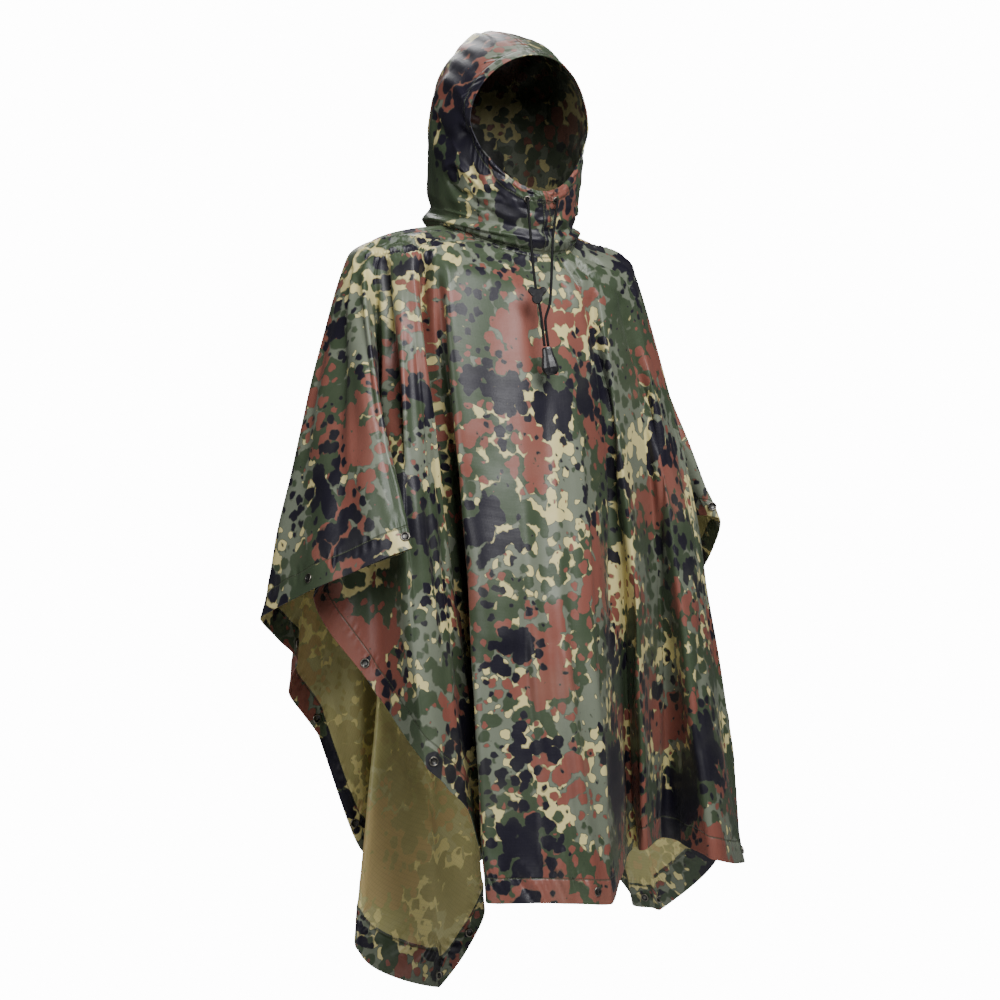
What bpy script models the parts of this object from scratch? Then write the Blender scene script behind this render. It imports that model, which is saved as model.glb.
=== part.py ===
"""A hooded rain poncho: one rectangular sheet of thin coated cloth with a neck hole and a sewn-in hood.

Units are metres. +Z is up, -Y is the wearer's front and +X is the wearer's left. The origin is at the
middle of the neck seam, where the wearer's shoulders carry the garment. The sheet is drawn as a set of
fold lines that run from the neck seam, over the shoulder, down to the edge of the cut.
"""

import math
from typing import NamedTuple

import bmesh
import bpy
import numpy as np
from mathutils import Matrix, Vector
from mathutils.bvhtree import BVHTree

# The flat cut: a rectangle with an oval hole for the neck.
CUT_HALF_WIDTH = 0.75
CUT_HALF_LENGTH = 1.05
NECK_HALF_WIDTH = 0.100
NECK_HALF_DEPTH = 0.120

# Cloth
WALL = 0.0012
SEAM_GAP = 0.0003
MOST_MITRE = 1.6  # how much further the faces may stand off at a sharp fold

# The neck seam drops at the front and climbs at the nape.
NECK_SIDE_HEIGHT = 0.014
NECK_FRONT_HEIGHT = -0.030
NECK_NAPE_HEIGHT = 0.020

# The line where the sheet leaves the shoulders, chest and back and starts to hang.
LEFT_SHOULDER_WIDTH = 0.214
RIGHT_SHOULDER_WIDTH = 0.246
CHEST_DEPTH = 0.150
BACK_DEPTH = 0.140
SHOULDER_HEIGHT = -0.027
CHEST_HEIGHT = -0.095
BACK_HEIGHT = -0.070

# Points for each gap of the grid of the sheet
STEPS_OVER_SHOULDER = 3
STEPS_UPPER_HANG = 4
STEPS_LOWER_HANG = 5
STEPS_BETWEEN_FOLDS = 3
FOLD_ROUNDNESS = 0.70
CORNER_SHARPNESS = 0.85

# The hood
CHIN_PINCH = 0.22  # how much narrower the face rim is towards the chin
HOOD_TURN = 7.0  # degrees to the wearer's right, reached at the rim
HOOD_HALF_COLUMNS = 18
HOOD_STEPS = 2
HOOD_SEAM_LIFT = 0.0018

# Hardware
FASTENER_SEGMENTS = 12
RESTING_RAYS = 24
RESTING_RINGS = (0.0, 0.35, 0.7, 1.0, 1.04)  # shares of the radius at which a round piece feels the cloth
SNAP_RADIUS = 0.0075
SNAP_INSET = 0.019
SNAP_PLACES = (-0.805, -0.630, -0.455, -0.280, -0.105, 0.105, 0.280, 0.455, 0.630, 0.805)
HEM_SNAP_PLACES = ((-0.01, 1), (-0.67, -1), (0.68, -1))
GROMMET_RADIUS = 0.0065
GROMMET_HOLE_RADIUS = 0.0035
GROMMET_INSET = 0.019
EYELET_RADIUS = 0.0050
EYELET_HOLE_RADIUS = 0.0022
EYELET_SPACING = 0.045
EYELET_HEIGHT = 0.047
CORD_RADIUS = 0.0019
CORD_STEPS = 5


class Fold(NamedTuple):
    """One line of the drape, from the neck seam to the edge of the cut."""

    cut_x: float  # where it meets the edge of the flat cut, wearer's left is positive
    cut_y: float  # wearer's front is positive
    turn: float  # degrees round the shoulder line: 0 front, 90 wearer's left, 180 back
    end_x: float  # where that edge hangs
    end_y: float
    end_z: float
    bow: float  # how far the line bends outwards half way down
    sway: float = 0.0  # and sideways, anticlockwise from above


LEFT, RIGHT = CUT_HALF_WIDTH, -CUT_HALF_WIDTH
FRONT, BACK = CUT_HALF_LENGTH, -CUT_HALF_LENGTH

FOLDS = (
    # left arm, from its top to the front left corner
    Fold(LEFT, 0.00, 94, 0.388, 0.070, -0.550, 0.000),
    Fold(LEFT, 0.27, 87, 0.349, -0.083, -0.417, -0.008),
    Fold(LEFT, 0.42, 82, 0.300, 0.015, -0.435, -0.035),
    Fold(LEFT, 0.55, 77, 0.302, -0.077, -0.457, 0.000, -0.012),
    Fold(LEFT, 0.78, 72, 0.352, -0.080, -0.680, 0.010, -0.025),
    Fold(LEFT, FRONT, 68, 0.369, -0.120, -0.940, 0.010, -0.025),
    # front hem, from the wearer's left to the right
    Fold(0.59, FRONT, 62, 0.235, -0.212, -0.918, 0.010),
    Fold(0.47, FRONT, 50, 0.246, -0.088, -0.900, 0.020),
    Fold(0.33, FRONT, 29, 0.135, -0.183, -0.900, 0.020),
    Fold(0.24, FRONT, 20, 0.165, -0.107, -0.910, 0.020),
    Fold(0.02, FRONT, 4, 0.001, -0.287, -0.957, 0.020),
    Fold(-0.04, FRONT, -12, -0.056, -0.291, -0.952, 0.020),
    Fold(-0.11, FRONT, -33, -0.100, -0.269, -0.950, 0.020),
    Fold(-0.20, FRONT, -54, -0.168, -0.225, -0.950, 0.010),
    Fold(-0.44, FRONT, -60, -0.010, -0.075, -0.950, 0.020),
    # right side, from the front right corner back to the arm
    Fold(RIGHT, FRONT, -65, -0.096, -0.140, -0.965, 0.035),
    Fold(RIGHT, 0.90, -67, -0.170, -0.176, -0.821, 0.030),
    Fold(RIGHT, 0.78, -70, -0.245, -0.187, -0.758, 0.030),
    Fold(RIGHT, 0.66, -74, -0.258, -0.071, -0.658, 0.010),
    Fold(RIGHT, 0.47, -79, -0.339, -0.042, -0.525, -0.050),
    Fold(RIGHT, 0.29, -84, -0.281, -0.211, -0.454, 0.033),
    Fold(RIGHT, 0.16, -88, -0.355, -0.127, -0.499, 0.010),
    # right arm, from its top down to the back right corner
    Fold(RIGHT, 0.00, -94, -0.393, 0.017, -0.556, 0.012),
    Fold(RIGHT, -0.11, -100, -0.315, 0.061, -0.616, 0.010),
    Fold(RIGHT, -0.20, -105, -0.287, 0.127, -0.676, 0.000),
    Fold(RIGHT, -0.29, -109, -0.228, 0.148, -0.739, 0.000),
    Fold(RIGHT, -0.48, -117, -0.154, 0.148, -0.915, 0.000),
    Fold(RIGHT, -0.63, -124, -0.014, 0.176, -1.020, 0.030),
    Fold(RIGHT, -0.86, -132, -0.194, 0.090, -1.050, -0.020),
    Fold(RIGHT, BACK, -140, -0.022, 0.134, -1.133, 0.000),
    # back hem, from the wearer's right to the left
    Fold(-0.60, BACK, -147, 0.069, 0.146, -1.013, 0.000),
    Fold(-0.52, BACK, -154, 0.020, 0.205, -0.995, 0.010),
    Fold(-0.42, BACK, -162, 0.010, 0.275, -0.975, 0.010),
    Fold(-0.27, BACK, -171, 0.110, 0.200, -0.950, 0.000),
    Fold(-0.12, BACK, 179, 0.085, 0.330, -0.940, 0.010),
    Fold(0.03, BACK, 170, 0.190, 0.385, -0.935, -0.010),
    Fold(0.18, BACK, 161, 0.300, 0.360, -0.945, 0.000),
    Fold(0.33, BACK, 152, 0.335, 0.235, -0.965, 0.000),
    Fold(0.48, BACK, 143, 0.430, 0.355, -0.955, 0.000),
    Fold(0.62, BACK, 135, 0.432, 0.262, -1.055, 0.000),
    # left side, from the back left corner up to the arm
    Fold(LEFT, BACK, 128, 0.450, 0.208, -1.060, 0.000),
    Fold(LEFT, -0.80, 120, 0.461, 0.063, -0.949, 0.009, 0.051),
    Fold(LEFT, -0.60, 114, 0.347, 0.079, -0.822, -0.010),
    Fold(LEFT, -0.40, 108, 0.443, 0.036, -0.723, -0.015),
    Fold(LEFT, -0.20, 101, 0.395, 0.105, -0.635, -0.010),
)
RIGHT_ARM_FOLD = 22


class HoodLoop(NamedTuple):
    """One loop round the hood. The loops fan out from the chin to the nape, the crown and the face rim."""

    chin_y: float
    chin_z: float
    far_y: float
    far_z: float
    half_width: float
    side_back: float  # how far its sides lie behind the straight line from chin to far point
    side_up: float  # and above it


HOOD_LOOPS = (
    HoodLoop(-0.133, -0.012, 0.130, 0.036, 0.112, 0.000, 0.010),  # roll above the neck seam
    HoodLoop(-0.128, 0.004, 0.118, 0.054, 0.101, 0.000, 0.010),  # tuck between two rolls
    HoodLoop(-0.136, 0.017, 0.123, 0.080, 0.106, 0.000, 0.008),  # second roll
    HoodLoop(-0.136, 0.030, 0.113, 0.142, 0.110, 0.000, 0.000),
    HoodLoop(-0.138, 0.038, 0.101, 0.206, 0.115, 0.000, 0.000),
    HoodLoop(-0.139, 0.045, 0.077, 0.268, 0.115, 0.000, 0.000),
    HoodLoop(-0.140, 0.050, 0.020, 0.312, 0.108, 0.005, 0.000),  # crown
    HoodLoop(-0.140, 0.054, -0.056, 0.294, 0.102, 0.016, 0.000),
    HoodLoop(-0.139, 0.059, -0.126, 0.258, 0.096, 0.033, 0.000),  # rim of the face opening
)

# The two ends of the hood's drawcord, from the eyelets down over the chest.
RIGHT_CORD_ROUTE = (
    (-0.0555, -0.170, -0.038),
    (-0.059, -0.184, -0.084),
    (-0.0572, -0.1915, -0.111),
    (-0.0557, -0.1945, -0.1315),
    (-0.0538, -0.199, -0.1690),
)
LEFT_CORD_ROUTE = (
    (-0.014, -0.162, -0.008),
    (-0.029, -0.180, -0.070),
    (-0.040, -0.1925, -0.107),
    (-0.0512, -0.1975, -0.1315),
    (-0.0496, -0.2025, -0.1690),
)
LOCK_CENTRE = (-0.0585, -0.1875, -0.097)
CORD_END_TOP = (-0.0515, -0.2010, -0.1706)
CORD_END_LENGTH = 0.040
CORD_END_LEAN = -10.0  # degrees
CORD_END_FLATNESS = 0.6
TOGGLE_TURN = -33.0  # degrees that the lock and the cord end are turned about Z
LOCK_HALF_DEPTH = 0.0050
LOCK_ROUNDING = 0.0012
LOCK_HOLE_RADIUS = 0.0026


class Arc(NamedTuple):
    """One round stretch of the cord lock's outline, on its wearer's left: metres and degrees."""

    centre_x: float
    centre_z: float
    radius: float
    start: float
    end: float
    steps: int


LOCK_ARCS = (
    Arc(0.0000, -0.0040, 0.0078, -78, 22, 5),
    Arc(0.0082, 0.0075, 0.0052, -62, 150, 8),
)


def on_oval(degrees, half_width, front_depth, back_depth):
    """(x, y) at this turn on an oval whose front and back have their own depths."""
    turn = math.radians(degrees)
    across, forwards = math.sin(turn), math.cos(turn)
    depth = front_depth if forwards > 0 else back_depth
    reach = 1 / math.hypot(across / half_width, forwards / depth)
    return reach * across, -reach * forwards


def tilted_height(degrees, side, front, back):
    """The height at this turn of a ring that has these heights at its side, front and back."""
    forwards = math.cos(math.radians(degrees))
    other = front if forwards > 0 else back
    return side + (other - side) * forwards**2


def neck_point(degrees):
    x, y = on_oval(degrees, NECK_HALF_WIDTH, NECK_HALF_DEPTH, NECK_HALF_DEPTH)
    return x, y, tilted_height(degrees, NECK_SIDE_HEIGHT, NECK_FRONT_HEIGHT, NECK_NAPE_HEIGHT)


def shoulder_point(degrees):
    width = LEFT_SHOULDER_WIDTH if math.sin(math.radians(degrees)) > 0 else RIGHT_SHOULDER_WIDTH
    x, y = on_oval(degrees, width, CHEST_DEPTH, BACK_DEPTH)
    return x, y, tilted_height(degrees, SHOULDER_HEIGHT, CHEST_HEIGHT, BACK_HEIGHT)


def curve_through(stations, steps, closed=False, softness=1.0):
    """Points on a smooth curve through the stations, with round turns. steps is the count for each gap."""
    stations = np.asarray(stations, float)
    ahead = np.roll(stations, -1, axis=0) - stations
    if not closed:
        ahead[-1] = ahead[-2]
    behind = np.roll(ahead, 1, axis=0)
    if not closed:
        behind[0] = ahead[0]
    reach_ahead = np.linalg.norm(ahead, axis=-1, keepdims=True)
    reach_behind = np.linalg.norm(behind, axis=-1, keepdims=True)
    direction = ahead / reach_ahead + behind / reach_behind
    direction /= np.linalg.norm(direction, axis=-1, keepdims=True)
    slopes = direction * np.minimum(reach_ahead, reach_behind) * FOLD_ROUNDNESS * softness
    gaps = len(stations) if closed else len(stations) - 1
    counts = [steps] * gaps if isinstance(steps, int) else steps
    points = []
    for gap, count in zip(range(gaps), counts):
        start, end = stations[gap], stations[(gap + 1) % len(stations)]
        out, into = slopes[gap], slopes[(gap + 1) % len(stations)]
        for t in np.arange(count) / count:
            points.append(
                start * (2 * t**3 - 3 * t**2 + 1)
                + out * (t**3 - 2 * t**2 + t)
                + end * (3 * t**2 - 2 * t**3)
                + into * (t**3 - t**2)
            )
    if not closed:
        points.append(stations[-1])
    return np.array(points)


def fold_stations(fold):
    """The neck, shoulder, half-way and edge points of one fold line."""
    shoulder = np.array(shoulder_point(fold.turn))
    end = np.array((fold.end_x, fold.end_y, fold.end_z))
    middle = (shoulder + end) / 2
    outwards = np.array((middle[0], middle[1], 0.0))
    outwards /= np.linalg.norm(outwards)
    middle += fold.bow * outwards + fold.sway * np.array((-outwards[1], outwards[0], 0.0))
    return neck_point(fold.turn), shoulder, middle, end


def sheet_grid(down_steps, around_steps):
    """The sheet's middle surface: an array of (columns round the neck, rows from the neck down, xyz)."""
    lines = np.array([curve_through(fold_stations(fold), down_steps) for fold in FOLDS])
    share = np.linspace(0, 1, lines.shape[1])[None, :, None]
    corner = np.array([abs(f.cut_x) == LEFT and abs(f.cut_y) == FRONT for f in FOLDS])
    softness = 1 - CORNER_SHARPNESS * corner[:, None, None] * share**4
    return curve_through(lines, around_steps, closed=True, softness=softness)


def unit(vectors):
    return vectors / np.linalg.norm(vectors, axis=-1, keepdims=True)


def chords(grid, axis, closed):
    """At each point the unit directions from its neighbour and to the next one along an axis."""
    grid = np.moveaxis(grid, axis, 0)
    ahead = np.roll(grid, -1, axis=0) - grid
    if not closed:
        ahead[-1] = ahead[-2]
    behind = np.roll(ahead, 1, axis=0)
    if not closed:
        behind[0] = ahead[0]
    return np.moveaxis(unit(behind), 0, axis), np.moveaxis(unit(ahead), 0, axis)


def grid_normals(grid, closed):
    """Outward normals of a grid, longer at a sharp fold so that the wall keeps its thickness there."""
    before, after = chords(grid, 0, closed)
    above, below = chords(grid, 1, False)
    down = above + below
    both = unit(np.cross(before, down)) + unit(np.cross(after, down))
    straightness = np.linalg.norm(both, axis=-1, keepdims=True) / 2
    return unit(both) / np.maximum(straightness, 1 / MOST_MITRE)


def new_material(name, colour, roughness, metallic=0.0):
    material = bpy.data.materials.new(name)
    material.use_nodes = True
    shader = material.node_tree.nodes["Principled BSDF"]
    shader.inputs["Base Color"].default_value = (*colour, 1.0)
    shader.inputs["Roughness"].default_value = roughness
    shader.inputs["Metallic"].default_value = metallic
    return material


def add_object(name, mesh, material):
    mesh.shade_smooth()
    mesh.set_sharp_from_angle(angle=math.radians(40))
    mesh.materials.append(material)
    part = bpy.data.objects.new(name, mesh)
    bpy.context.scene.collection.objects.link(part)
    return part


def wall_mesh(name, grid, normals, wall=WALL):
    """A closed wall of even thickness about an open grid of points."""
    columns, rows = grid.shape[:2]
    outer = grid + normals * wall / 2
    inner = grid - normals * wall / 2
    points = np.concatenate([outer.reshape(-1, 3), inner.reshape(-1, 3)])
    count = columns * rows
    faces = []
    for column in range(columns - 1):
        for row in range(rows - 1):
            a = column * rows + row
            b, c, d = a + rows, a + rows + 1, a + 1
            faces.append((a, d, c, b))
            faces.append((a + count, b + count, c + count, d + count))
    rim = [column * rows for column in range(columns)]
    rim += [(columns - 1) * rows + row for row in range(1, rows)]
    rim += [column * rows + rows - 1 for column in range(columns - 2, -1, -1)]
    rim += [row for row in range(rows - 2, 0, -1)]
    for a, b in zip(rim, rim[1:] + rim[:1]):
        faces.append((a, b, b + count, a + count))
    mesh = bpy.data.meshes.new(name)
    mesh.from_pydata(points.tolist(), [], faces)
    work = bmesh.new()
    work.from_mesh(mesh)
    bmesh.ops.recalc_face_normals(work, faces=work.faces)
    bmesh.ops.triangulate(work, faces=work.faces, quad_method="SHORT_EDGE")
    work.to_mesh(mesh)
    work.free()
    return mesh


def hood_point(loop, around, pinch):
    """The point at this angle round one hood loop: 0 at the chin, 180 at its far point, left positive."""
    angle = math.radians(around)
    width = loop.half_width * (1 - pinch * max(math.cos(angle), 0))
    share = (1 - math.cos(angle)) / 2
    side = math.sin(angle) ** 2
    return (
        width * math.sin(angle),
        loop.chin_y + (loop.far_y - loop.chin_y) * share + loop.side_back * side,
        loop.chin_z + (loop.far_z - loop.chin_z) * share + loop.side_up * side,
    )


def hood_grid(side, columns, steps):
    """One half of the hood: an array of (columns from chin to centre back, rows from the neck up, xyz)."""
    seam_gap = SEAM_GAP / 2
    raised = np.linspace(0, 1, len(HOOD_LOOPS) + 1)
    grid = []
    for around in np.linspace(0, 180, columns + 1):
        angle = math.radians(around)
        x, y = NECK_HALF_WIDTH * math.sin(angle), -NECK_HALF_DEPTH * math.cos(angle)
        turn = math.degrees(math.atan2(x, -y))
        neck = (x, y, neck_point(turn)[2] + HOOD_SEAM_LIFT)
        stations = [neck]
        stations += [hood_point(loop, around, CHIN_PINCH * up) for loop, up in zip(HOOD_LOOPS, raised[1:])]
        line = curve_through(np.array(stations), steps)
        line[:, 0] = np.maximum(line[:, 0], seam_gap) * side
        grid.append(line)
    grid = np.array(grid)
    twist = np.radians(HOOD_TURN) * np.linspace(0, 1, grid.shape[1])
    x, y = grid[..., 0].copy(), grid[..., 1].copy()
    grid[..., 0] = x * np.cos(twist) + y * np.sin(twist)
    grid[..., 1] = y * np.cos(twist) - x * np.sin(twist)
    return grid


def turned_solid(name, profile, segments, matrix, material, closed=False):
    """A round solid from (radius, height) points about its own axis. A closed profile makes a ring."""
    work = bmesh.new()
    verts = [work.verts.new((radius, 0, height)) for radius, height in profile]
    edges = [work.edges.new(pair) for pair in zip(verts, verts[1:])]
    if closed:
        edges.append(work.edges.new((verts[-1], verts[0])))
    bmesh.ops.spin(
        work,
        geom=verts + edges,
        cent=(0, 0, 0),
        axis=(0, 0, 1),
        angle=math.tau,
        steps=segments,
        use_merge=True,
    )
    bmesh.ops.remove_doubles(work, verts=work.verts, dist=1e-6)
    bmesh.ops.recalc_face_normals(work, faces=work.faces)
    work.transform(matrix)
    mesh = bpy.data.meshes.new(name)
    work.to_mesh(mesh)
    work.free()
    return add_object(name, mesh, material)


def upright_frame(point, normal):
    """A matrix whose Z is this normal, at this point."""
    return Matrix.Translation(point) @ normal.to_track_quat("Z", "Y").to_matrix().to_4x4()


def resting_frame(surfaces, point, normal, radius):
    """The frame of a small round piece that lies flat on the nearest facet, clear of those round it."""
    nearest = [surface.find_nearest(point + normal * WALL) for surface in surfaces]
    point, normal = min(nearest, key=lambda found: found[3])[:2]
    frame = upright_frame(point, normal)
    lift = 0.0
    for share in RESTING_RINGS:
        for step in range(RESTING_RAYS):
            angle = step * math.tau / RESTING_RAYS
            across = Vector((math.cos(angle), math.sin(angle), 0)) * radius * share
            above = frame @ (across + Vector((0, 0, radius)))
            for surface in surfaces:
                hit = surface.ray_cast(above, -normal, 2 * radius)[0]
                if hit:
                    lift = max(lift, (hit - point).dot(normal))
    return upright_frame(point + normal * (lift + SEAM_GAP), normal)


def sheet_place(grid, normals, cut_x, cut_y, inset):
    """The point and normal on the sheet this far inside the edge of the cut."""
    edge_x, edge_y = np.array([f.cut_x for f in FOLDS]), np.array([f.cut_y for f in FOLDS])
    for fold in range(len(FOLDS)):
        after = (fold + 1) % len(FOLDS)
        reach_x, reach_y = edge_x[after] - edge_x[fold], edge_y[after] - edge_y[fold]
        gap = math.hypot(reach_x, reach_y)
        along = ((cut_x - edge_x[fold]) * reach_x + (cut_y - edge_y[fold]) * reach_y) / gap
        off = abs((cut_x - edge_x[fold]) * reach_y - (cut_y - edge_y[fold]) * reach_x) / gap
        if off < 1e-6 and -1e-9 <= along < gap:
            break
    column = (fold + along / gap) * STEPS_BETWEEN_FOLDS
    first, part_way = int(column) % len(grid), column % 1
    line = grid[first] * (1 - part_way) + grid[(first + 1) % len(grid)] * part_way
    facing = normals[first] * (1 - part_way) + normals[(first + 1) % len(grid)] * part_way
    step = np.linalg.norm(line[-1] - line[-2])
    share = inset / step
    point = line[-1] * (1 - share) + line[-2] * share
    normal = Vector(facing[-1] * (1 - share) + facing[-2] * share).normalized()
    return Vector(point), normal


def snap_profile(radius):
    return (
        (0.0, 0.0010),
        (radius * 0.68, 0.0010),
        (radius * 0.80, 0.0019),
        (radius * 0.94, 0.0016),
        (radius, 0.0),
        (0.0, 0.0),
    )


def ring_profile(radius, hole, height):
    middle = (radius + hole) / 2
    return ((hole, 0.0), (radius, 0.0), (radius * 0.94, height * 0.7), (middle, height), (hole, height * 0.7))


def build_fasteners(grid, normals, surfaces, metal):
    """Snaps along both side edges and at the hems, and a ring grommet in each corner."""
    places = [
        (f"snap_{name}_{number + 1:02d}", side, along, SNAP_INSET)
        for side, name in ((LEFT, "left"), (RIGHT, "right"))
        for number, along in enumerate(SNAP_PLACES)
    ]
    places += [
        (f"snap_hem_{number + 1}", along, edge * FRONT, SNAP_INSET)
        for number, (along, edge) in enumerate(HEM_SNAP_PLACES)
    ]
    for name, cut_x, cut_y, inset in places:
        point, normal = sheet_place(grid, normals, cut_x, cut_y, inset)
        frame = resting_frame(surfaces, point, normal, SNAP_RADIUS)
        turned_solid(name, snap_profile(SNAP_RADIUS), FASTENER_SEGMENTS, frame, metal)
    ring = ring_profile(GROMMET_RADIUS, GROMMET_HOLE_RADIUS, 0.0016)
    for front, end in ((FRONT, "front"), (BACK, "back")):
        for side, name in ((LEFT, "left"), (RIGHT, "right")):
            point, normal = sheet_place(grid, normals, side, front, GROMMET_INSET)
            frame = resting_frame(surfaces, point, normal, GROMMET_RADIUS)
            turned_solid(f"grommet_{end}_{name}", ring, FASTENER_SEGMENTS, frame, metal, closed=True)


def build_eyelets(surfaces, metal):
    """Two small eyelets under the chin where the drawcord leaves its casing.

    Returns the first two points of each cord.
    """
    starts = {}
    ring = ring_profile(EYELET_RADIUS, EYELET_HOLE_RADIUS, 0.0014)
    for side, name in ((1, "left"), (-1, "right")):
        start = Vector((side * EYELET_SPACING / 2, -0.3, EYELET_HEIGHT))
        turned = Matrix.Rotation(-math.radians(HOOD_TURN), 3, "Z")
        inwards = turned @ Vector((0, 1, 0))
        hits = [surface.ray_cast(turned @ start, inwards) for surface in surfaces]
        hit = min((h for h in hits if h[0]), key=lambda h: h[3])
        frame = resting_frame(surfaces, hit[0], hit[1], EYELET_RADIUS)
        turned_solid(f"hood_eyelet_{name}", ring, FASTENER_SEGMENTS, frame, metal, closed=True)
        starts[name] = (frame.translation + hit[1] * 0.0010, frame.translation + hit[1] * 0.0050)
    return starts


def build_cord(name, route, material):
    """A round cord along a smooth curve through its route."""
    points = curve_through(np.array(route), CORD_STEPS)
    curve = bpy.data.curves.new(name, "CURVE")
    curve.dimensions = "3D"
    curve.bevel_depth = CORD_RADIUS
    curve.bevel_resolution = 2
    curve.use_fill_caps = True
    spline = curve.splines.new("POLY")
    spline.points.add(len(points) - 1)
    for place, point in zip(spline.points, points):
        place.co = (*point, 1.0)
    curve.materials.append(material)
    cord = bpy.data.objects.new(name, curve)
    bpy.context.scene.collection.objects.link(cord)
    return cord


def build_cord_lock(plastic):
    """A flat spring lock with two round ears above a round body, and a hole that the cord runs through."""
    half = [
        (arc.centre_x + arc.radius * math.cos(a), arc.centre_z + arc.radius * math.sin(a))
        for arc in LOCK_ARCS
        for a in np.radians(np.linspace(arc.start, arc.end, arc.steps))
    ]
    outline = half + [(-x, z) for x, z in reversed(half)]
    work = bmesh.new()
    verts = [work.verts.new((x, -LOCK_HALF_DEPTH, z)) for x, z in outline]
    face = work.faces.new(verts)
    moved = bmesh.ops.extrude_face_region(work, geom=[face])["geom"]
    back = [item for item in moved if isinstance(item, bmesh.types.BMVert)]
    bmesh.ops.translate(work, verts=back, vec=(0, 2 * LOCK_HALF_DEPTH, 0))
    bmesh.ops.recalc_face_normals(work, faces=work.faces)
    sides = [edge for edge in work.edges if edge.calc_face_angle(0) > math.radians(60)]
    bmesh.ops.bevel(
        work, geom=sides, offset=LOCK_ROUNDING, segments=1, profile=0.5, affect="EDGES", material=-1
    )
    mesh = bpy.data.meshes.new("cord_lock")
    work.to_mesh(mesh)
    work.free()
    lock = add_object("cord_lock", mesh, plastic)
    lock.location = LOCK_CENTRE
    lock.rotation_euler.z = math.radians(TOGGLE_TURN)
    return lock


def cut_cord_hole(lock, start, end, radius):
    """Cuts a straight hole through the lock along the cord."""
    start, end = Vector(start), Vector(end)
    frame = upright_frame((start + end) / 2, (end - start).normalized())
    half = (end - start).length / 2
    profile = ((0.0, half), (radius, half), (radius, -half), (0.0, -half))
    cutter = turned_solid("cord_hole_cutter", profile, FASTENER_SEGMENTS, frame, lock.data.materials[0])
    cutter.hide_render = True
    cutter.display_type = "WIRE"
    hole = lock.modifiers.new("cord_hole", "BOOLEAN")
    hole.operation = "DIFFERENCE"
    hole.object = cutter
    hole.solver = "EXACT"


def build_cord_end(plastic):
    """The flat bell that both cord ends are fixed in."""
    profile = (
        (0.0, 0.0),
        (0.0058, 0.0),
        (0.0072, -0.0025),
        (0.0084, -0.0120),
        (0.0110, -0.0215),
        (0.0124, -0.0290),
        (0.0112, -0.0355),
        (0.0074, -CORD_END_LENGTH),
        (0.0, -CORD_END_LENGTH),
    )
    lean = Matrix.Rotation(math.radians(CORD_END_LEAN), 4, "Y")
    flat = Matrix.Diagonal((1.0, CORD_END_FLATNESS, 1.0, 1.0))
    turn = Matrix.Rotation(math.radians(TOGGLE_TURN), 4, "Z")
    frame = Matrix.Translation(CORD_END_TOP) @ turn @ lean @ flat
    turned_solid("cord_end", profile, 16, frame, plastic)


def main():
    for old in list(bpy.data.objects):
        bpy.data.objects.remove(old, do_unlink=True)
    cloth = new_material("camouflage_cloth", (0.09, 0.11, 0.05), 0.45)
    metal = new_material("blackened_brass", (0.05, 0.05, 0.05), 0.4, 1.0)
    cord = new_material("black_cord", (0.01, 0.01, 0.01), 0.8)
    plastic = new_material("black_plastic", (0.012, 0.012, 0.012), 0.35)

    down = (STEPS_OVER_SHOULDER, STEPS_UPPER_HANG, STEPS_LOWER_HANG)
    grid = sheet_grid(down, STEPS_BETWEEN_FOLDS)
    normals = grid_normals(grid, closed=True)
    right_arm = RIGHT_ARM_FOLD * STEPS_BETWEEN_FOLDS
    front = np.arange(0, right_arm + 1)
    back = np.arange(right_arm, len(grid) + 1) % len(grid)
    walls = []
    for name, columns in (("front_panel", front), ("back_panel", back)):
        piece, facing = grid[columns].copy(), normals[columns]
        for end, next_one in ((0, 1), (-1, -2)):
            inwards = piece[next_one] - piece[end]
            inwards /= np.linalg.norm(inwards, axis=-1, keepdims=True)
            piece[end] += inwards * SEAM_GAP
        walls.append(add_object(name, wall_mesh(name, piece, facing), cloth))
    for side, name in ((1, "hood_left"), (-1, "hood_right")):
        half = hood_grid(side, HOOD_HALF_COLUMNS, HOOD_STEPS)
        facing = grid_normals(half, closed=False) * side
        walls.append(add_object(name, wall_mesh(name, half, facing), cloth))

    surfaces = [
        BVHTree.FromPolygons([v.co for v in wall.data.vertices], [p.vertices for p in wall.data.polygons])
        for wall in walls
    ]
    build_fasteners(grid, normals, surfaces[:2], metal)
    cord_starts = build_eyelets(surfaces[2:], metal)
    build_cord("drawcord_right", (*cord_starts["right"], *RIGHT_CORD_ROUTE), cord)
    build_cord("drawcord_left", (*cord_starts["left"], *LEFT_CORD_ROUTE), cord)
    lock = build_cord_lock(plastic)
    cut_cord_hole(lock, RIGHT_CORD_ROUTE[1], RIGHT_CORD_ROUTE[2], LOCK_HOLE_RADIUS)
    build_cord_end(plastic)


if __name__ == "__main__":
    main()
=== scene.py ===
import logging
import math
from dataclasses import dataclass
from enum import Enum, IntEnum
from typing import Callable, NamedTuple, Sequence, Union

import bmesh
import bpy
import numpy as np
from mathutils import Matrix, Vector
from mathutils.bvhtree import BVHTree


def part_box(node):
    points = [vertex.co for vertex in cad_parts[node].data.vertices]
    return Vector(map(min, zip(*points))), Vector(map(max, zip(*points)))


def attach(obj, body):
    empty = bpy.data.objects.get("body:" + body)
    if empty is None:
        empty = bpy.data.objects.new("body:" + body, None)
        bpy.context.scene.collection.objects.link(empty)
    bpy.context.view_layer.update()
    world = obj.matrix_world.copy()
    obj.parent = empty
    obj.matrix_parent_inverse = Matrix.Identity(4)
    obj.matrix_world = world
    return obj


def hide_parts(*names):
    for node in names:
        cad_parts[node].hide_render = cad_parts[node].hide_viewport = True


# A hooded rain poncho as a maker would dress it: one sheet of rain cloth with a neck hole and a hood.
# All lengths are metres. +Z is up, -Y is the wearer's front and +X is the wearer's left.

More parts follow.
